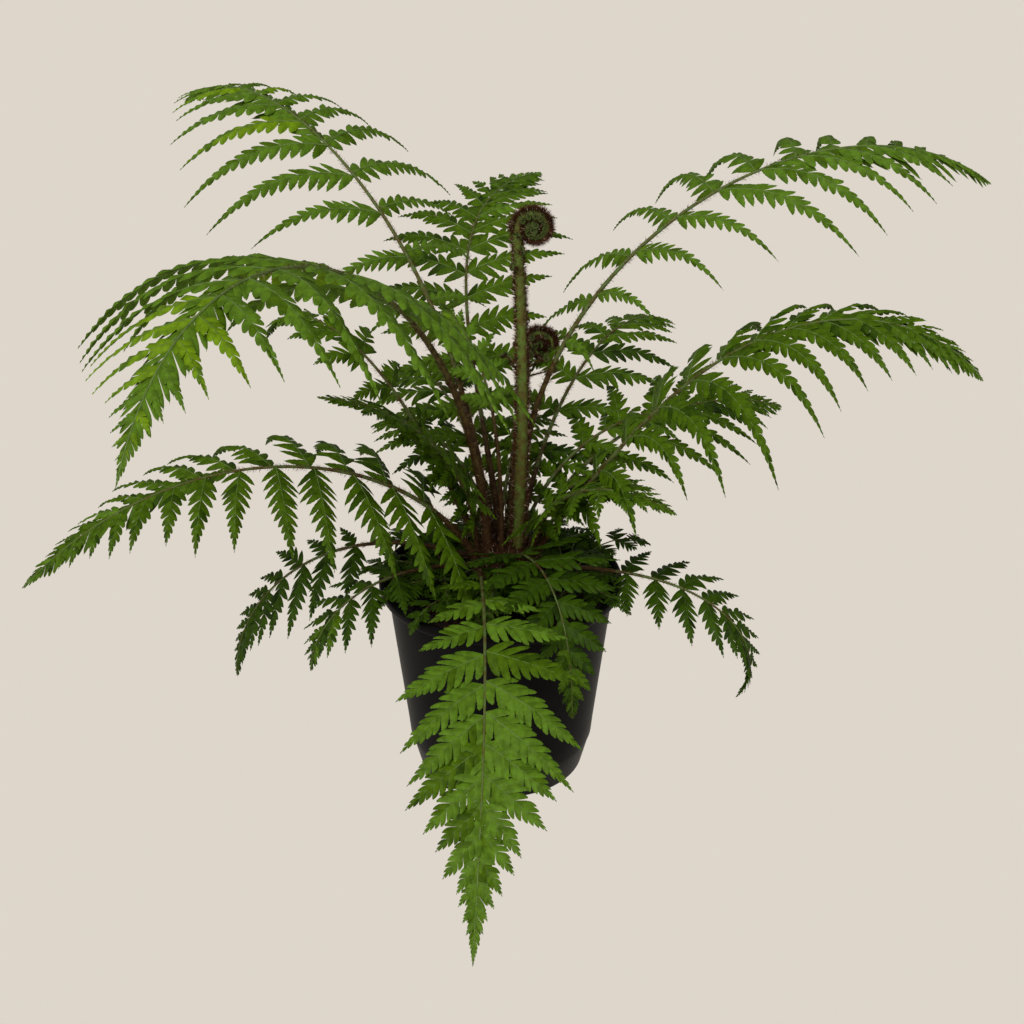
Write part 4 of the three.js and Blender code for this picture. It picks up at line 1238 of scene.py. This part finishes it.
class FERN_OT_trunk(bpy.types.Operator):
    """Makes the short trunk with its relief and its coat of scales"""

    bl_idname = "potted_fern.trunk"
    bl_label = "Trunk"

    profile = ((31, 0.3), (28, 5), (26, 10), (26, 20), (24, 28), (17, 37), (8.5, 40))
    sides = 56
    rings = 26
    leaf_bases = 8
    base_depth = 0.07
    second_row = 19
    relief = ((0.004, 0.0022), (0.0013, 0.0012))
    seed = 21
    scales = 5200
    scale_seat = 0.99
    scale_out = 0.75
    scale_up = 0.8
    scale_least = 2.5
    scale_more = 6.5
    scale_radius = 0.34
    scale_odds = (0.6, 0.28, 0.12)
    chance_scale = 0.45

    def execute(self, context):
        radii, heights = np.array(self.profile).T
        levels = np.linspace(heights[0], heights[-1], self.rings)
        rings = [(float(np.interp(level, heights, radii)) * MM, (MIX_LEVEL + level) * MM) for level in levels]
        piece = turned_piece("trunk_bark", rings, self.sides)
        self.bulge(piece)
        pick(piece)
        bpy.ops.transform.translate(value=tuple(CROWN * MM))
        bpy.ops.object.transform_apply(location=True)
        for grain, depth in self.relief:
            roughen(piece, grain, depth)
        bpy.ops.object.shade_smooth()
        wood = settings().wood
        dress(piece, mottled("trunk_bark", wood.bark, scaled(wood.scale, 0.8), BARK))
        settle(piece, ["trunk"])
        self.add_scales(heights, radii)
        return {"FINISHED"}

    def bulge(self, piece):
        """Raises the leaf bases, in two rows that stand between one another."""
        points = np.array([vertex.co for vertex in piece.data.vertices])
        turn = np.arctan2(points[:, 1], points[:, 0])
        row = np.where(points[:, 2] > (MIX_LEVEL + self.second_row) * MM, np.pi, 0)
        points[:, :2] *= (1 + self.base_depth * np.cos(self.leaf_bases * turn + row))[:, None]
        piece.data.vertices.foreach_set("co", points.ravel())

    def add_scales(self, heights, radii):
        """Covers the trunk with slim brown scales and some pale hairs."""
        chance = np.random.default_rng(self.seed)
        count = self.scales
        level = heights[0] + (heights[-1] - heights[0]) * chance.random(count)
        turn = chance.random(count) * 2 * np.pi
        far = np.interp(level, heights, radii) * self.scale_seat
        out = np.stack((np.cos(turn), np.sin(turn), np.zeros(count)), 1)
        roots = out * far[:, None]
        roots[:, 2] = MIX_LEVEL + level
        jitter = self.chance_scale * chance.standard_normal((count, 3))
        ways = out * self.scale_out + np.array((0, 0, self.scale_up)) + jitter
        lengths = self.scale_least + self.scale_more * chance.random(count) ** 1.5
        heap = Heap()
        kinds = chance.choice(len(self.scale_odds), count, p=self.scale_odds)
        add_hairs(heap, roots, ways, lengths, self.scale_radius, kinds)
        settle(heap.piece("trunk_scales", scale_materials()), [])


def bent_limb(node, points, radii, relief, material):
    """A round tapering limb in a node's place, drawn as a curve, made a mesh and given a fine relief."""
    name = f"{node}_bark"
    curve = bpy.data.curves.new(name, "CURVE")
    curve.dimensions = "3D"
    curve.bevel_depth = 1
    curve.bevel_resolution = 4
    curve.use_fill_caps = True
    spline = curve.splines.new("POLY")
    spline.points.add(len(points) - 1)
    rows = np.hstack(((points + CROWN) * MM, np.ones((len(points), 1))))
    spline.points.foreach_set("co", rows.ravel())
    spline.points.foreach_set("radius", np.asarray(radii, float) * MM)
    piece = bpy.data.objects.new(name, curve)
    bpy.context.scene.collection.objects.link(piece)
    pick(piece)
    bpy.ops.object.convert(target="MESH")
    piece = bpy.context.object
    roughen(piece, LIMB_GRAIN, relief)
    bpy.ops.object.shade_smooth()
    dress(piece, material)
    settle(piece, [node])


class FERN_OT_stalks(bpy.types.Operator):
    """Makes the fronds' stalks with their relief and their scales"""

    bl_idname = "potted_fern.stalks"
    bl_label = "Stalks"

    seed = 31
    slimmer = 0.82
    steps = 40
    relief = 0.0009
    scale_density = 0.8
    full_scale_radius = 4.5
    rib_hairs = 2.2
    rib_hair_size = 0.62
    rib_hair_radius = 0.15

    def execute(self, context):
        longest = settings().wood.scale_length / MM
        chance = np.random.default_rng(self.seed)
        heap = Heap()
        for frond in FRONDS:
            line = rib_line(frond)
            end = frond.stalk / frond.length
            foot = frond.stalk_radius
            top = frond.rib_radius
            points = line.at(np.linspace(0, end, self.steps))[0]
            radii = np.linspace(foot, top, self.steps) * self.slimmer
            bent_limb(f"frond_{frond.name}_stalk", points, radii, self.relief, stalk_material())
            count = int(frond.stalk * foot * self.scale_density)
            long = longest * min(1, foot / self.full_scale_radius)
            carried_on = np.array((foot, foot + (top - foot) / end)) * self.slimmer
            hairs_along(heap, line, count, HAIR_START, end, carried_on, long, chance)
            if frond.hairy:
                hairs_along(heap, line, int(frond.blade * self.rib_hairs), end, end + (1 - end) * HAIRY,
                            (top, top * 0.5), long * self.rib_hair_size, chance, radius=self.rib_hair_radius)
        settle(heap.piece("stalk_scales", scale_materials()), [])
        return {"FINISHED"}


def add_curl(heap, centre, axis, towards, radius, thick):
    """A snail of young leaf, wound inwards about an axis from the spoke nearest to a way."""
    first = unit(towards - axis * np.dot(towards, axis))
    share = np.linspace(0, 1, CURL_RINGS)
    turn = 2 * np.pi * CURL_TURNS * share
    spoke = first * np.cos(turn)[:, None] + np.cross(axis, first) * np.sin(turn)[:, None]
    middle = centre + spoke * radius * (1 - CURL_INWARDS * share)[:, None]
    size = (thick * (1 - CURL_SLIMMER * share))[:, None, None]
    around = 2 * np.pi * np.arange(CURL_CORNERS) / CURL_CORNERS
    ring = spoke[:, None] * np.cos(around)[:, None] - axis * np.sin(around)[:, None]
    heap.add((middle[:, None] + ring * size)[None])


class FERN_OT_croziers(bpy.types.Operator):
    """Makes the coiled young fronds with their scales and curled leaflets"""

    bl_idname = "potted_fern.croziers"
    bl_label = "Croziers"

    seed = 41
    slimmer = 0.9
    steps = 60
    relief = 0.0008
    stalk_hairs = 18
    stalk_hair_radius = 0.3
    stalk_band = 0.5
    band_hair_size = 0.85
    loose_hair_size = 0.5
    loose_hairs_among = 5
    coil_steps = 72
    coil_slimmer = 0.86
    coil_end_radius = 1.6
    coil_hairs = 3600
    coil_hair_radius = 0.28
    coil_hair_lean = 0.65
    coil_hair_least = 0.3
    coil_hair_more = 0.6
    coil_hair_odds = (0.66, 0.3, 0.04)
    chance_coil_hair = 0.35
    inward_fuzz = 3
    outer_coil = 0.62
    outer_hair_size = 1.2
    inner_hair_size = 0.6
    side_curl_steps = (6, 4)
    side_curl_spacing = 2.3
    side_curl_size = 2.6
    side_curl_shrink = 0.45
    side_curl_thick = 0.42
    side_curl_gap = 1.2
    chance_spoke = 0.3
    chance_side_axis = 0.35
    curl_size = 3.2
    inner_curls = 17
    inner_curl_thick = 1.4
    inner_curl_depth = 2
    chance_inner_axis = 0.6
    stub_top = 0.97
    stub_spacing = 0.045
    stub_forward = 0.9
    stub_fall = 0.15
    stub_length = 3
    stub_radii = (1.3, 0.9)
    stub_hair_seats = (1.2, 0.8)
    stub_hairs = 130
    stub_hair_size = 0.8
    stub_curl_thick = 1.3
    stub_material = 1
    chance_stub_way = 0.4
    chance_stub_length = 0.2
    chance_stub_axis = 0.3

    def execute(self, context):
        long = settings().wood.scale_length / MM
        scales = Heap()
        curls = Heap()
        for number, (name, crozier) in enumerate(CROZIERS.items()):
            chance = np.random.default_rng(self.seed + number)
            stem = crozier.stem
            line = rib_line(stem)
            points = line.at(np.linspace(0, 1, self.steps))[0]
            radii = np.linspace(stem.stalk_radius, stem.rib_radius, self.steps) * self.slimmer
            bent_limb(f"crozier_{name}_stalk", points, radii, self.relief, young_stalk_material())
            count = int(stem.stalk * self.stalk_hairs)
            ends = (radii[0], radii[-1])
            hairs_along(scales, line, count, HAIR_START, 1, ends, long * self.band_hair_size, chance,
                        bands=self.stalk_band, radius=self.stalk_hair_radius)
            hairs_along(scales, line, count // self.loose_hairs_among, HAIR_START, 1, ends,
                        long * self.loose_hair_size, chance)
            self.add_coil(name, crozier, line, scales, curls, chance, long)
            self.add_stubs(crozier, line, scales, curls, chance, long)
        settle(scales.piece("crozier_scales", scale_materials()), [])
        settle(curls.piece("crozier_curls", [curl_material(), young_stalk_material()]), [])
        return {"FINISHED"}

    def add_coil(self, name, crozier, line, scales, curls, chance, long):
        """The spiral at a young frond's end, hairy outside and set with curled leaflets inside."""
        point, along = (row[0] for row in line.at([1.0])[:2])
        out = unit(np.array((along[2], 0, -along[0])))
        depth = np.cross(out, along)
        centre = point + out * crozier.coil_radius
        share = np.linspace(0, 1, self.coil_steps)
        turn = 2 * np.pi * crozier.coil_turns * share
        spoke = -out * np.cos(turn)[:, None] + along * np.sin(turn)[:, None]
        reach = crozier.coil_radius + (crozier.coil_end - crozier.coil_radius) * share
        middle = centre + spoke * reach[:, None]
        thick = crozier.stem.rib_radius
        radii = (thick + (self.coil_end_radius - thick) * share) * self.coil_slimmer
        bent_limb(f"crozier_{name}_coil", middle, radii, self.relief, young_stalk_material())
        self.add_coil_hairs(crozier, scales, middle, spoke, depth, radii, chance, long)
        first, last = self.side_curl_steps
        for step in range(first, self.coil_steps - last, round(self.side_curl_spacing * crozier.fuzz ** 2)):
            size = self.side_curl_size * (1 - self.side_curl_shrink * share[step])
            for side in (-1, 1):
                beside = depth * side * (radii[step] + self.side_curl_gap)
                start = middle[step] + beside - spoke[step] * radii[step] / 2
                towards = unit(spoke[step] + self.chance_spoke * chance.standard_normal(3))
                axis = unit(depth * side + self.chance_side_axis * chance.standard_normal(3))
                add_curl(curls, start, axis, towards, size, size * self.side_curl_thick)
        for _ in range(round(self.inner_curls / crozier.fuzz ** 2)):
            away = out * chance.standard_normal() + along * chance.standard_normal()
            start = centre + unit(away) * crozier.coil_radius / 2 * chance.random()
            start = start + depth * self.inner_curl_depth * chance.standard_normal()
            axis = unit(depth + self.chance_inner_axis * chance.standard_normal(3))
            add_curl(curls, start, axis, away, self.curl_size, self.inner_curl_thick)

    def add_coil_hairs(self, crozier, scales, middle, spoke, depth, radii, chance, long):
        """Hairs round the spiral, most of them outwards, longer on its outer turn."""
        count = int(self.coil_hairs * crozier.fuzz)
        step = chance.integers(0, self.coil_steps, count)
        lean = chance.standard_normal((count, 1)) * self.coil_hair_lean * math.sqrt(crozier.fuzz)
        inwards = chance.random((count, 1)) < (crozier.fuzz - 1) / self.inward_fuzz
        way = spoke[step] * np.where(inwards, -1, 1) + depth * lean
        roots = middle[step] + unit(way) * radii[step][:, None] * HAIR_SUNK
        outer = step < self.outer_coil * (self.coil_steps - 1)
        sizes = np.where(outer, self.outer_hair_size, self.inner_hair_size)
        lengths = long * (self.coil_hair_least + self.coil_hair_more * chance.random(count)) * sizes
        ways = way + self.chance_coil_hair * chance.standard_normal((count, 3))
        kinds = chance.choice(len(self.coil_hair_odds), count, p=self.coil_hair_odds)
        add_hairs(scales, roots, ways, lengths, self.coil_hair_radius, kinds)

    def add_stubs(self, crozier, line, scales, curls, chance, long):
        """Curled young leaflets on hairy stubs, in pairs down the stalk's upper end."""
        for k in range(round(2 * crozier.fuzz)):
            place = line.at([self.stub_top - self.stub_spacing * k])
            point, along, across, up = (row[0] for row in place)
            ahead = along * (self.stub_forward - self.stub_fall * k)
            for hand in (-1, 1):
                way = unit(across * hand + ahead + up * self.chance_stub_way * chance.standard_normal())
                grown = 1 + self.chance_stub_length * chance.standard_normal()
                length = self.stub_length * (k + 1) * crozier.fuzz * grown
                end = point + way * length
                rows = ((point, end), (way, way), (across, across), (up, up))
                stub = Line(*map(np.array, rows), length)
                add_rib(curls, stub, 0, 1, *self.stub_radii, 4, corners=6, raised=0, shade=self.stub_material)
                hairs_along(scales, stub, int(self.stub_hairs * crozier.fuzz), 0, 1, self.stub_hair_seats,
                            long * self.stub_hair_size, chance)
                axis = unit(np.cross(way, along) + self.chance_stub_axis * chance.standard_normal(3))
                add_curl(curls, end, axis, along, self.curl_size, self.stub_curl_thick)


class FERN_OT_fronds(bpy.types.Operator):
    """Makes the fronds' blades of toothed lobes with their ribs"""

    bl_idname = "potted_fern.fronds"
    bl_label = "Fronds"

    first_sister_seed = 100

    def execute(self, context):
        materials = leaf_materials()
        for number, frond in enumerate(FRONDS):
            leaves = Heap()
            ribs = Heap()
            add_frond(leaves, ribs, frond, number + 1)
            for turn, share in SISTERS.get(frond.name, ()):
                sister_seed = number + self.first_sister_seed + abs(turn)
                add_small_frond(leaves, ribs, smaller(frond, turn, share), sister_seed)
            blade = leaves.piece(f"frond_{frond.name}_leaves", materials, angle=70)
            settle(blade, frond.blade_nodes)
            settle(ribs.piece(f"frond_{frond.name}_ribs", rib_materials(), angle=80), [])
        return {"FINISHED"}


class FERN_OT_sporelings(bpy.types.Operator):
    """Makes the tufts of small fronds on the potting mix"""

    bl_idname = "potted_fern.sporelings"
    bl_label = "Sporelings"

    first_tuft_seed = 10

    def execute(self, context):
        materials = leaf_materials()
        ribs = Heap()
        for number, sporeling in enumerate(SPORELINGS):
            leaves = Heap()
            seed = len(FRONDS) + number + 1
            add_small_frond(leaves, ribs, sporeling, seed)
            for turn, share in TUFT:
                tuft_seed = seed + self.first_tuft_seed + abs(turn)
                add_small_frond(leaves, ribs, smaller(sporeling, turn, share), tuft_seed)
            blade = leaves.piece(f"sporeling_{number + 1}_leaves", materials, angle=70)
            settle(blade, [f"sporeling_{number + 1}"])
        settle(ribs.piece("sporeling_ribs", rib_materials(), angle=80), [])
        return {"FINISHED"}


class FERN_OT_stage(bpy.types.Operator):
    """Makes the floor, the light and the camera"""

    bl_idname = "potted_fern.stage"
    bl_label = "Stage"

    floor_size = 40
    key_turn = (38, -22, 0)
    key_softness = 35
    fill_turn = (58, 30, 0)
    fill_softness = 60
    sky_colour = (1, 0.97, 0.92, 1)

    def execute(self, context):
        stage = settings().stage
        bpy.ops.object.select_all(action="DESELECT")
        bpy.ops.mesh.primitive_plane_add(size=self.floor_size)
        floor = bpy.context.object
        floor.name = "floor"
        material, shader = new_material("pale_floor")
        shader.inputs["Base Color"].default_value = (0, 0, 0, 1)
        shader.inputs["Specular IOR Level"].default_value = 0
        shader.inputs["Emission Color"].default_value = opaque(stage.floor)
        shader.inputs["Emission Strength"].default_value = 1
        floor.data.materials.append(material)
        self.add_light("key", stage.key, self.key_turn, self.key_softness)
        self.add_light("fill", stage.fill, self.fill_turn, self.fill_softness)
        world = bpy.data.worlds.new("even_light")
        world.use_nodes = True
        background = world.node_tree.nodes["Background"]
        background.inputs["Color"].default_value = self.sky_colour
        background.inputs["Strength"].default_value = stage.sky
        context.scene.world = world
        context.scene.view_settings.view_transform = "Standard"
        camera = bpy.data.objects.new("camera", bpy.data.cameras.new("camera"))
        camera.location = stage.camera
        camera.rotation_euler = (math.pi / 2 - stage.pitch, 0, 0)
        camera.data.lens = stage.lens
        context.scene.collection.objects.link(camera)
        context.scene.camera = camera
        return {"FINISHED"}

    def add_light(self, name, strength, turn, softness):
        """A soft light from far away, turned in degrees."""
        lamp = bpy.data.lights.new(name, "SUN")
        lamp.energy = strength
        lamp.angle = math.radians(softness)
        light = bpy.data.objects.new(name, lamp)
        light.rotation_euler = [math.radians(part) for part in turn]
        bpy.context.scene.collection.objects.link(light)


class FERN_PT_panel(bpy.types.Panel):
    """Lists the fern's settings and the steps that make it"""

    bl_idname = "FERN_PT_panel"
    bl_label = "Tree Fern"
    bl_space_type = "VIEW_3D"
    bl_region_type = "UI"
    bl_category = "Tree Fern"

    def draw(self, context):
        for group in settings():
            box = self.layout.box()
            for name in group.__annotations__:
                box.prop(group, name)
        for operator in OPERATORS:
            self.layout.operator(operator.bl_idname)


SETTINGS = {"fern_pot": PotSettings, "fern_wood": WoodSettings, "fern_leaf": LeafSettings,
            "fern_stage": StageSettings}
OPERATORS = (FERN_OT_pot, FERN_OT_mix, FERN_OT_trunk, FERN_OT_stalks, FERN_OT_croziers, FERN_OT_fronds,
             FERN_OT_sporelings, FERN_OT_stage)
CLASSES = (*SETTINGS.values(), *OPERATORS, FERN_PT_panel)


def register():
    for item in CLASSES:
        bpy.utils.register_class(item)
    for name, group in SETTINGS.items():
        setattr(bpy.types.Scene, name, bpy.props.PointerProperty(type=group))


def unregister():
    for name in SETTINGS:
        delattr(bpy.types.Scene, name)
    for item in reversed(CLASSES):
        bpy.utils.unregister_class(item)


def main():
    register()
    bpy.ops.object.select_all(action="DESELECT")
    bpy.ops.potted_fern.pot()
    bpy.ops.potted_fern.mix()
    bpy.ops.potted_fern.trunk()
    bpy.ops.potted_fern.stalks()
    bpy.ops.potted_fern.croziers()
    bpy.ops.potted_fern.fronds()
    bpy.ops.potted_fern.sporelings()
    bpy.ops.potted_fern.stage()


if __name__ == "__main__":
    main()
